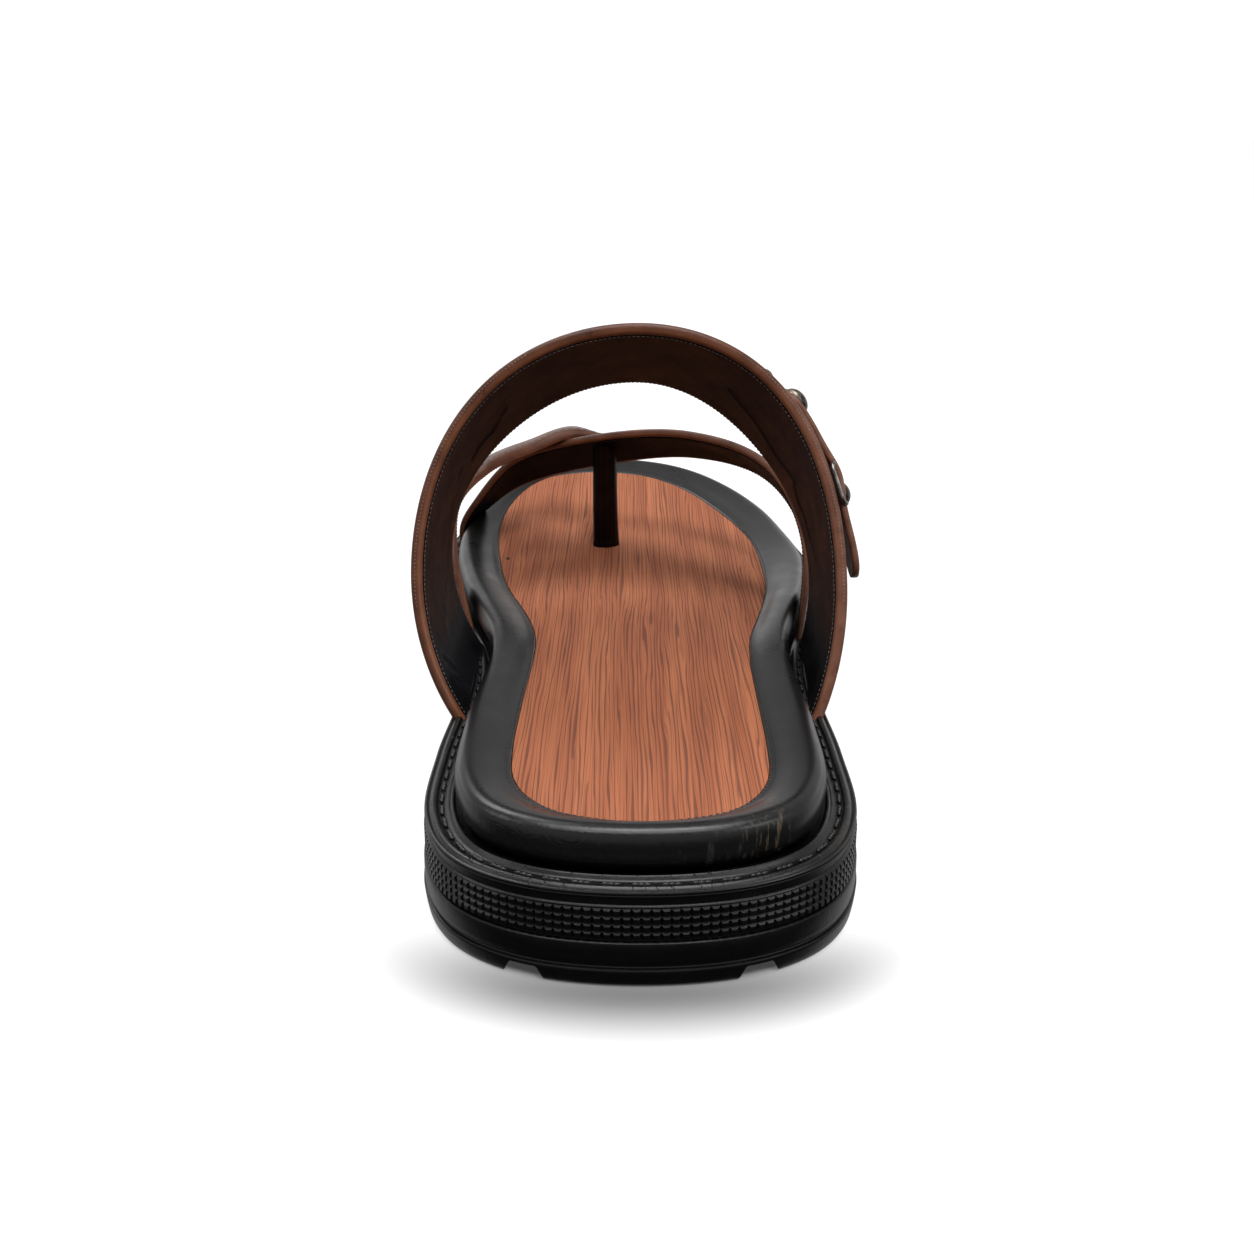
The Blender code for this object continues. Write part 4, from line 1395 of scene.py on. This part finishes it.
@dataclass
class InstepStrap:
    """The wide strap over the instep, with its lining, stitches and pinholes."""

    rear: Arch = Arch(
        top_x=0.05, top_y=116.0, top_z=108.3, base_y=82.5, inner_reach=-54.3, outer_reach=49.9,
        inner_foot=-44.6, outer_foot=44.2, inner_shoulder=1.1, outer_shoulder=1.8,
    )
    front: Arch = Arch(
        top_x=-0.5, top_y=154.0, top_z=89.6, base_y=136.0, inner_reach=-52.7, outer_reach=49.4,
        inner_foot=-45.2, outer_foot=47.2, inner_shoulder=-1.1, outer_shoulder=-1.9,
    )
    thickness: float = 2.75
    steps: int = 400
    trim: Trim = Trim(1.75, 0.35, 90, 1.15, (0.42, 0.13, 0.11), (0.95, 0.16, 0.09), 0.75, 0.05)
    creases: tuple[Crease, ...] = (
        Crease(((80.5, 0.46), (73.9, 0.61), (68.6, 0.59), (63.9, 0.64)), 0.55, 0.6),
        Crease(((60.9, 0.51), (56.8, 0.55)), -0.28, 0.6),
        Crease(((50.4, 0.64), (37.5, 0.80), (26.4, 0.70), (17.0, 0.43)), -0.25, 1.6),
        Crease(((14.7, 0.15), (10.6, 0.25), (7.6, 0.31), (2.9, 0.375)), 0.4, 0.6),
        Crease(((11.7, 0.14), (9.4, 0.15), (6.5, 0.26)), 0.35, 0.6),
        Crease(
            (
                (145.5, 0.50), (149.3, 0.56), (157.0, 0.625), (162.6, 0.675),
                (168.3, 0.69), (172.8, 0.64), (176.5, 0.60),
            ),
            0.45,
            0.9,
        ),
        Crease(
            ((177.4, 0.66), (181.8, 0.72), (187.4, 0.70), (193.2, 0.69), (198.0, 0.60)), 0.4, 0.8
        ),
        Crease(((204.2, 0.89), (210.1, 0.76), (216.0, 0.59)), -0.28, 0.7),
    )
    foot_share: float = 0.95
    hole_pitch: float = 0.93
    hole_size: Triple = (0.14, 0.14, 0.10)
    hole_turn: float = 80.0
    hole_reaches: Rows = ((0.12, 0.40), (0.63, 0.88))

    @cached_property
    def strap(self) -> Strap:
        """The strap itself.

        Returns:
            The strap.
        """
        shares = np.linspace(-1.0, 1.0, self.steps + 1)
        rear = np.array([self.rear.point(share, STRAP_SINK) for share in shares])
        front = np.array([self.front.point(share, STRAP_SINK) for share in shares])
        return Strap("instep", rear, front, self.thickness, foot_share=self.foot_share)

    def place(self, share: float, inset: float) -> tuple[np.ndarray, ...]:
        """Point, directions along and across, and outward normal on the outer face.

        Args:
            share: place along the strap, from -1 at the inner foot to 1 at the outer foot.
            inset: distance from the rear edge.

        Returns:
            The point, both directions and the normal.
        """
        step = 0.01
        line = []
        for spot in (share - step, share, share + step):
            rear = self.rear.point(spot, STRAP_SINK)
            across = unit(self.front.point(spot, STRAP_SINK) - rear)
            line.append((rear + across * inset, across))
        along = unit(line[2][0] - line[0][0])
        across = line[1][1]
        return line[1][0], along, across, unit(np.cross(along, across))

    def build(self, leather: Material, lining: Material) -> None:
        """Make the strap's pieces.

        Args:
            leather: material of the outer face and edges.
            lining: material of the inner face.
        """
        grey = Thread("grey_thread", (0.17, 0.15, 0.135)).material()
        brown = Thread("brown_thread", (0.10, 0.045, 0.028)).material()
        faces, threads = (leather, lining), (grey, brown)
        self.strap.dress(self.trim, faces, threads, ("instep_strap",), self.creases)
        self.pinholes()

    def pinholes(self) -> None:
        """Make the row of pale pinholes round the strap's rear edge."""
        radius = self.thickness / 2.0
        turn = math.radians(self.hole_turn)
        inset = radius - radius * math.sin(turn)
        lift = radius * math.cos(turn) - radius
        pale = Thread("pale_pinholes", (0.36, 0.25, 0.20), 0.7).material()
        spots = []
        for reach in self.hole_reaches:
            spots += self.strap.rows(inset, lift, self.hole_pitch, reach=reach)
        turned = Matrix.Rotation(math.radians(90.0 - self.hole_turn) - math.pi / 2.0, 4, "X")
        holes = beads([spot @ turned for spot in spots], self.hole_size)
        show(holes, "edge_pinholes", pale)


@dataclass
class CrossStraps:
    """The strap over the big toe and the strap that leaves the toe post, with the post."""

    toe_thickness: float = 2.2
    post_thickness: float = 2.8
    toe_crown: float = 0.3
    post_crown: float = 1.4
    gap: float = 0.4
    toe_feet: Rows = ((233.0, 249.0), (140.0, 158.0))
    toe_sections: Rows = (
        # rear edge x, y, z, front edge x, y, z
        (-58.4, 231.5, 26.0, -55.6, 247.5, 24.6), (-52.9, 227.0, 36.3, -51.0, 244.0, 30.2),
        (-39.0, 219.5, 52.5, -38.5, 237.5, 39.8), (-14.0, 208.0, 62.0, -13.0, 226.0, 49.2),
        (15.3, 194.5, 66.0, 18.0, 212.5, 55.2), (38.3, 171.5, 61.3, 40.7, 193.0, 52.5),
        (47.7, 151.5, 44.0, 50.7, 172.0, 39.2),
    )
    post_foot: Rows = ((147.0, 164.0),)
    post_sections: Rows = (
        # rear edge x, y, z, front edge x, y, z
        (-53.0, 160.0, 37.0, -57.0, 179.0, 35.0), (-53.0, 173.0, 49.7, -55.5, 193.0, 47.1),
        (-44.5, 187.0, 56.9, -47.0, 206.0, 53.8), (-33.0, 202.0, 59.4, -33.0, 222.0, 56.6),
        (-20.0, 212.0, 62.2, -19.5, 229.5, 58.8), (-9.0, 215.0, 60.4, -8.0, 226.5, 52.6),
        (-4.0, 215.5, 58.6, -3.0, 223.0, 53.4),
    )
    span_steps: int = 26
    trim: Trim = Trim(1.9, 0.3, 30, 1.2, (0.42, 0.12, 0.10), (0.9, 0.15, 0.07), 0.7, 0.04)
    foot_share: float = 0.7
    post_place: Pair = (-9.6, 212.4)
    post_rows: Rows = (
        # share of the height, radius
        (0.0, 3.95), (0.03, 4.2), (0.07, 4.2), (0.11, 4.0), (0.20, 3.95), (0.45, 3.85), (0.75, 3.7),
        (1.0, 3.65),
    )
    post_columns: int = 48
    post_start: float = 6.2
    post_grip: float = 0.6
    post_folds: Pair = (0.16, 0.10)
    post_seams: Rows = (
        # depth, turn, width
        (0.4, 4.55, 0.10), (0.3, 5.35, 0.12),
    )

    def edges(self, sections: Rows, feet: Rows, thickness: float) -> tuple[np.ndarray, np.ndarray]:
        """Edges of a strap through its sections.

        Args:
            sections: rows of the edges' places.
            feet: where its inner end goes into the welt, and its outer end if it does.
            thickness: the strap's thickness.

        Returns:
            The rear and the front edge.
        """
        rear = [row[:3] for row in sections]
        front = [row[3:] for row in sections]
        for spots, side in zip(feet, (Side.INNER, Side.OUTER)):
            ends = []
            for y in spots:
                x, y = LAST.beside(y, side, self.gap + thickness)
                ends.append((x, y, float(LAST.welt(y)) - STRAP_SINK))
            at = 0 if side is Side.INNER else len(rear)
            rear.insert(at, ends[0])
            front.insert(at, ends[1])
        return spline(rear, self.span_steps), spline(front, self.span_steps)

    def post(self, strap: Strap, leather: Material) -> None:
        """Make the rolled post from the sock up into the strap.

        Args:
            strap: the strap that the post holds.
            leather: the post's material.
        """
        x, y = self.post_place
        middle = (strap.rear + strap.front) / 2.0
        nearest = int(np.argmin(np.hypot(middle[:, 0] - x, middle[:, 1] - y)))
        normal = strap.normal[nearest]
        point = strap.rear[nearest] - normal * (strap.thickness - self.toe_crown) * self.post_grip
        floor = float(LAST.welt(y)) + self.post_start
        deep, shallow = self.post_folds
        turns = np.linspace(0.0, 2.0 * math.pi, self.post_columns, endpoint=False)
        rings = []
        for share, radius in spline(self.post_rows, 5):
            reach = radius + deep * np.cos(turns * 3.0 + share * 5.0) * (1.0 - share)
            reach = reach + shallow * np.cos(turns * 5.0 - share * 3.0)
            for depth, turn, width in self.post_seams:
                reach = reach - depth * np.exp(-(((turns - turn) / width) ** 2))
            px = x + reach * np.cos(turns)
            py = y + reach * np.sin(turns)
            top = point[2] - (normal[0] * (px - point[0]) + normal[1] * (py - point[1])) / normal[2]
            rings.append(np.column_stack([px, py, floor + (top - floor) * share]))
        show(skin(np.array(rings)), "post_leather", leather, ("toe_post",))

    def build(self, leather: Material, lining: Material) -> None:
        """Make the straps' pieces.

        Args:
            leather: material of the outer faces and edges.
            lining: material of the inner faces.
        """
        dark = Thread("dark_thread", (0.050, 0.036, 0.030)).material()
        toe_edges = self.edges(self.toe_sections, self.toe_feet, self.toe_thickness)
        post_edges = self.edges(self.post_sections, self.post_foot, self.post_thickness)
        toe = Strap("toe_strap", *toe_edges, self.toe_thickness, self.toe_crown, self.foot_share)
        post = Strap("post_strap", *post_edges, self.post_thickness, self.post_crown)
        for strap, replaces in ((toe, ("cross_straps",)), (post, ())):
            strap.dress(self.trim, (leather, lining), (dark, dark), replaces)
        deep, light = (0.0014, 0.0005, 0.0004), (0.008, 0.0025, 0.0016)
        rolled = BrownLeather("rolled_leather", deep, light, gloss=0.34, shine=0.07)
        self.post(toe, rolled.material())


@dataclass
class Buckle:
    """The narrow buckle strap on the instep strap's outer face, with its frame and studs."""

    instep: InstepStrap
    line: float = 9.5
    upper_line: float = 7.5
    upper_place: float = 0.310
    tab_place: float = 0.388
    frame_place: float = 0.560
    frame_stud_place: float = 0.583
    tail_place: float = 0.738
    tab_margin: float = 4.2
    width: float = 12.4
    thickness: float = 1.7
    gap: float = 0.35
    bulge: float = 1.3
    bulge_place: float = 0.545
    bulge_spread: float = 0.045
    tail_gap: float = 2.1
    frame_width: float = 15.4
    frame_length: float = 10.4
    frame_wire: float = 0.55
    frame_press: float = 0.45
    frame_corner: float = 2.2
    frame_side_height: float = 1.1
    clearance: float = 0.2
    stud_profile: Rows = (
        # radius, height
        (0.0, 2.6), (0.5, 2.57), (1.0, 2.46), (1.5, 2.26), (1.95, 1.98), (2.3, 1.62), (2.52, 1.25),
        (2.62, 0.9), (2.6, 0.72), (2.72, 0.62), (2.95, 0.58), (3.05, 0.45), (3.05, 0.15),
        (2.95, 0.0),
    )
    stud_sizes: Triple = (1.40, 1.15, 0.85)
    stud_steps: int = 48
    stud_sink: float = 0.5
    end_start: float = 8.0
    end_steps: int = 14
    middle_steps: int = 60
    corner_steps: int = 8
    wire_steps: int = 72
    wire_sides: int = 14

    def proud(self, place: float) -> float:
        """Rise of the narrow strap where it passes over the frame."""
        return self.bulge * math.exp(-(((place - self.bulge_place) / self.bulge_spread) ** 2))

    def strap(self) -> Strap:
        """The narrow strap with its round ends.

        Returns:
            The strap.
        """
        half = self.width / 2.0
        _, rise, sunk = self.instep.rear.half(Side.OUTER, STRAP_SINK)
        per_mm = 1.0 / (rise * sunk)
        top = self.tab_place - self.tab_margin * per_mm
        turns = np.radians(np.linspace(self.end_start, 90.0, self.end_steps))
        ends = [half * (1.0 - math.cos(turn)) for turn in turns]
        places = [top + gap * per_mm for gap in ends]
        straight = np.linspace(places[-1], self.tail_place - half * per_mm, self.middle_steps)
        places += list(straight[1:-1])
        places += [self.tail_place - gap * per_mm for gap in reversed(ends)]
        rear, front = [], []
        for place in places:
            from_end = min(place - top, self.tail_place - place) / per_mm
            half_width = math.sqrt(half**2 - (half - min(from_end, half)) ** 2)
            point, _, across, normal = self.instep.place(place, self.line)
            slack = float(smooth_step(place, self.frame_place, self.tail_place))
            under = self.gap + (self.tail_gap - self.gap) * slack + self.proud(place)
            lift = under + self.thickness
            rear.append(point + normal * lift - across * half_width)
            front.append(point + normal * lift + across * half_width)
        return Strap("buckle_strap", np.array(rear), np.array(front), self.thickness)

    def frame(self, material: Material) -> None:
        """Make the bent frame over the strap.

        Args:
            material: the frame's material.
        """
        point, along, across, normal = self.instep.place(self.frame_place, self.line)
        top = self.gap + self.thickness - self.frame_press + self.frame_wire
        bow = top - self.frame_side_height
        corner_x = self.frame_width / 2.0 - self.frame_corner
        corner_y = self.frame_length / 2.0 - self.frame_corner
        path = []
        for quarter, (sx, sy) in enumerate(((1, 1), (-1, 1), (-1, -1), (1, -1))):
            for turn in np.linspace(0.0, 90.0, self.corner_steps):
                angle = math.radians(90.0 * quarter + turn)
                x = sx * corner_x + self.frame_corner * math.cos(angle)
                y = sy * corner_y + self.frame_corner * math.sin(angle)
                level = 1.0 - float(smooth_step(abs(x), corner_x, self.frame_width / 2.0))
                lift = self.frame_side_height + bow * level
                path.append(point + across * x + along * y + normal * lift)
        path = even_steps(np.vstack([path, path[:1]]), self.wire_steps)[:-1]
        ahead = unit(np.roll(path, -1, axis=0) - np.roll(path, 1, axis=0))
        out = unit(np.cross(ahead, normal))
        up = np.cross(out, ahead)
        turns = np.linspace(0.0, 2.0 * math.pi, self.wire_sides, endpoint=False)[None, :, None]
        wire = np.cos(turns) * out[:, None] + np.sin(turns) * up[:, None]
        rings = path[:, None] + self.frame_wire * wire
        show(skin(rings, tube=True), "buckle_metal", material, ("buckle_frame",))

    def stud(
        self, name: str, place: float, line: float, height: float, size: float, material: Material
    ) -> None:
        """Turn one domed stud.

        Args:
            name: the solid that it stands for.
            place: where it is along the instep strap.
            line: its distance from the strap's rear edge.
            height: its height above the strap's outer face.
            size: its size beside the plain stud.
            material: its material.
        """
        point, along, _, normal = self.instep.place(place, line)
        bm = bmesh.new()
        profile = np.array(self.stud_profile) * size * MM
        verts = [bm.verts.new((radius, 0.0, z)) for radius, z in profile]
        edges = [bm.edges.new(pair) for pair in zip(verts, verts[1:])]
        full, steps = 2.0 * math.pi, self.stud_steps
        bmesh.ops.spin(bm, geom=verts + edges, axis=UP, angle=full, steps=steps, use_merge=True)
        close(bm)
        spot = axes_at(point + normal * height, along, normal)
        bmesh.ops.transform(bm, matrix=spot, verts=bm.verts)
        show(bm, f"{name}_dome", material, (name,))

    def build(self, leather: Material) -> None:
        """Make the buckle's pieces.

        Args:
            leather: the narrow strap's material.
        """
        show(skin(self.strap().body()), "buckle_leather", leather, ("buckle_strap",))
        silver = Metal("worn_silver", (0.17, 0.165, 0.16), (0.36, 0.35, 0.34), 0.24).material()
        bronze = Metal("dark_bronze", (0.060, 0.050, 0.042), (0.24, 0.20, 0.165)).material()
        self.frame(silver)
        on_strap = self.gap + self.thickness - self.stud_sink
        on_frame = on_strap + self.proud(self.frame_stud_place)
        studs = (
            ("stud_1", self.tab_place, self.line, on_strap),
            ("stud_2", self.frame_stud_place, self.line, on_frame),
            ("stud_3", self.upper_place, self.upper_line, self.clearance),
        )
        for row, size in zip(studs, self.stud_sizes):
            self.stud(*row, size, bronze)


@dataclass
class Lamp:
    """A soft square light aimed at a point of the shoe."""

    name: str
    place: Triple
    aim: Triple
    size: float
    power: float
    shines: bool = True
    fills: bool = True

    def build(self) -> None:
        """Make the light."""
        data = bpy.data.lights.new(self.name, "AREA")
        data.shape = "SQUARE"
        data.size = self.size
        data.energy = self.power
        lamp = bpy.data.objects.new(self.name, data)
        lamp.location = self.place
        lamp.visible_glossy = self.shines
        lamp.visible_diffuse = self.fills
        lamp.rotation_mode = "QUATERNION"
        lamp.rotation_quaternion = (Vector(self.aim) - Vector(self.place)).to_track_quat("-Z", "Y")
        bpy.context.scene.collection.objects.link(lamp)


@dataclass
class Studio:
    """The floor, the lights and the camera."""

    floor_radius: float = 15000.0
    floor_drop: float = 0.05
    floor_step: float = 3.0
    floor_steps: int = 10
    floor_far: float = 70.0
    floor_hub: float = 0.01
    # The floor's glow is cut to paint a shadow under the shoe and behind the heel.
    contact_shadow_rows: Pair = (0.7, 2.0)
    floor_grey: float = 0.20
    glow: float = 0.95
    shade_width: float = 22.5
    shade_range: Pair = (-120.0, -157.0)
    wall_height: float = 9.0
    wall_drop: float = 0.1
    wall_share: float = 0.9
    wall_sides: int = 64
    daylight: float = 0.42
    zenith_share: float = 0.3
    zenith_range: Pair = (0.6, 0.9)
    backdrop: float = 0.65
    backdrop_range: Pair = (0.06, 0.40)
    backdrop_side: Pair = (0.2, 0.9)
    horizon: Pair = (-0.15, 0.05)
    ground_light: Pair = (0.03, 0.5)
    ground_range: Pair = (-0.2, 0.5)
    lamps: tuple[Lamp, ...] = (
        Lamp("key_light", (0.26, -0.99, 1.22), (0.0, 0.0, 0.03), 0.46, 16.2, shines=False),
        Lamp("overhead_shine", (0.0, -0.22, 1.50), (0.0, 0.0, 0.0), 1.20, 16.0, fills=False),
        Lamp("toe_light", (-0.53, 0.93, 1.19), (0.0, 0.02, 0.03), 0.50, 4.0),
        Lamp("top_light", (0.10, 0.19, 1.60), (0.0, 0.02, 0.0), 0.50, 4.6),
        Lamp("back_light", (0.10, 1.15, 1.25), (0.0, 0.05, 0.03), 0.60, 6.6, shines=False),
        Lamp("inner_light", (-1.45, -0.10, 1.25), (0.0, 0.0, 0.03), 0.80, 3.2),
        Lamp("outer_light", (1.25, -0.75, 1.05), (0.0, 0.0, 0.03), 0.80, 4.5),
    )
    camera_place: Triple = (0.00045, -0.3833, 0.1538)
    camera_tilt: float = 70.7
    focal_px: float = 1450.0
    frame_px: float = 1254.0
    sensor: float = 36.0
    clip_start: float = 0.01

    def stand(self, bm: Mesh, name: str, material: Material) -> None:
        """Make a part of the studio that isn't part of the shoe.

        Args:
            bm: its mesh, which is freed.
            name: its name.
            material: its material.
        """
        part = as_object(bm, name)
        part.data.materials.append(material)
        part.visible_diffuse = False
        part.visible_glossy = False

    def floor(self) -> None:
        """Make the floor as rings round the outsole, with a shadow painted into its glow under the
        shoe and behind the heel.
        """
        offsets = [self.floor_step * step for step in range(-1, self.floor_steps + 1)]
        offsets.append(self.floor_far)
        plans = [LAST.inset(-LAST.welt_width - offset) for offset in offsets]
        middle = CENTRE[:2]
        plans.insert(0, middle + (plans[0] - middle) * self.floor_hub)
        plans.append(middle + unit(plans[-1] - middle) * self.floor_radius)
        rings = [np.column_stack([plan, np.full(len(plan), -self.floor_drop)]) for plan in plans]
        paint = Paint("pale_floor")
        row = paint.axis(paint.surface, 1) * (len(rings) - 1.0)
        # Painted shadow: the glow fades out under the shoe, and behind the heel it fades back in
        # over shade_width from the outline.
        past_heel_shadow = ((row - 2.0) * self.floor_step).ramp(0.0, self.shade_width)
        heel = paint.axis(paint.place, 1).ramp(*self.shade_range)
        clear_of_painted_shadow = row.ramp(*self.contact_shadow_rows)
        glow = paint.blend(clear_of_painted_shadow * (1.0 - heel * (1.0 - past_heel_shadow)), BLACK, WHITE)
        material = paint.coat(
            Base_Color=(self.floor_grey, self.floor_grey, self.floor_grey, 1.0),
            Roughness=0.9,
            Specular_IOR_Level=0.0,
            Emission_Color=glow,
            Emission_Strength=self.glow,
        )
        self.stand(skin(np.array(rings), fill=False), "floor", material)

    def wall(self) -> None:
        """Make the white wall round the floor."""
        bm = bmesh.new()
        radius = self.floor_radius * MM * self.wall_share
        middle = Matrix.Translation((0.0, 0.0, self.wall_height / 2.0 - self.wall_drop))
        sizes = {"radius1": radius, "radius2": radius, "depth": self.wall_height}
        bmesh.ops.create_cone(bm, cap_ends=False, segments=self.wall_sides, matrix=middle, **sizes)
        white = Paint("white_wall").coat(
            Base_Color=(0.9, 0.9, 0.9, 1.0), Emission_Color=(*WHITE, 1.0), Emission_Strength=1.0
        )
        self.stand(bm, "wall", white)

    def sky(self) -> None:
        """Make the light that comes from all round."""
        sky = Sky("studio")
        towards = sky.node("ShaderNodeTexCoord", {}, {}, 0)
        forward, height = sky.axis(towards, 1), sky.axis(towards, 2)
        below = forward.ramp(*self.ground_range, *self.ground_light)
        backdrop = height.ramp(*self.backdrop_range, self.backdrop, 0.0)
        zenith = self.daylight * self.zenith_share
        above = height.ramp(*self.zenith_range, self.daylight, zenith)
        above = above + backdrop * forward.ramp(*self.backdrop_side)
        horizon = height.ramp(*self.horizon)
        sky.feed(sky.shader.inputs["Strength"], below * (1.0 - horizon) + above * horizon)
        sky.feed(sky.shader.inputs["Color"], (*WHITE, 1.0))
        bpy.context.scene.world = sky.world

    def camera(self) -> None:
        """Make the camera at the photograph's place."""
        data = bpy.data.cameras.new("camera")
        data.sensor_width = self.sensor
        data.lens = self.sensor * self.focal_px / self.frame_px
        data.clip_start = self.clip_start
        camera = bpy.data.objects.new("camera", data)
        camera.location = self.camera_place
        camera.rotation_euler = (math.radians(self.camera_tilt), 0.0, 0.0)
        bpy.context.scene.collection.objects.link(camera)
        bpy.context.scene.camera = camera
        bpy.context.scene.view_settings.view_transform = "Standard"

    def build(self) -> None:
        """Make the studio."""
        self.floor()
        self.wall()
        self.sky()
        for lamp in self.lamps:
            lamp.build()
        self.camera()


def main() -> None:
    """Build the sandal and its studio."""
    logging.basicConfig(level=logging.INFO, format="%(message)s")
    Outsole().build()
    Footbed().build()
    instep = InstepStrap()
    folded = BrownLeather("folded_leather", folds=instep.strap.fold_shares()).material()
    instep.build(folded, Lining().material())
    # The cross straps get a darker copy of the lining: painted shade.
    shaded_toe_lining = Lining("shaded_toe_lining", (0.0010, 0.0005, 0.0004), (0.0030, 0.0017, 0.0015), 0.04)
    CrossStraps().build(folded, shaded_toe_lining.material())
    Buckle(instep).build(BrownLeather().material())
    Studio().build()


if __name__ == "__main__":
    main()
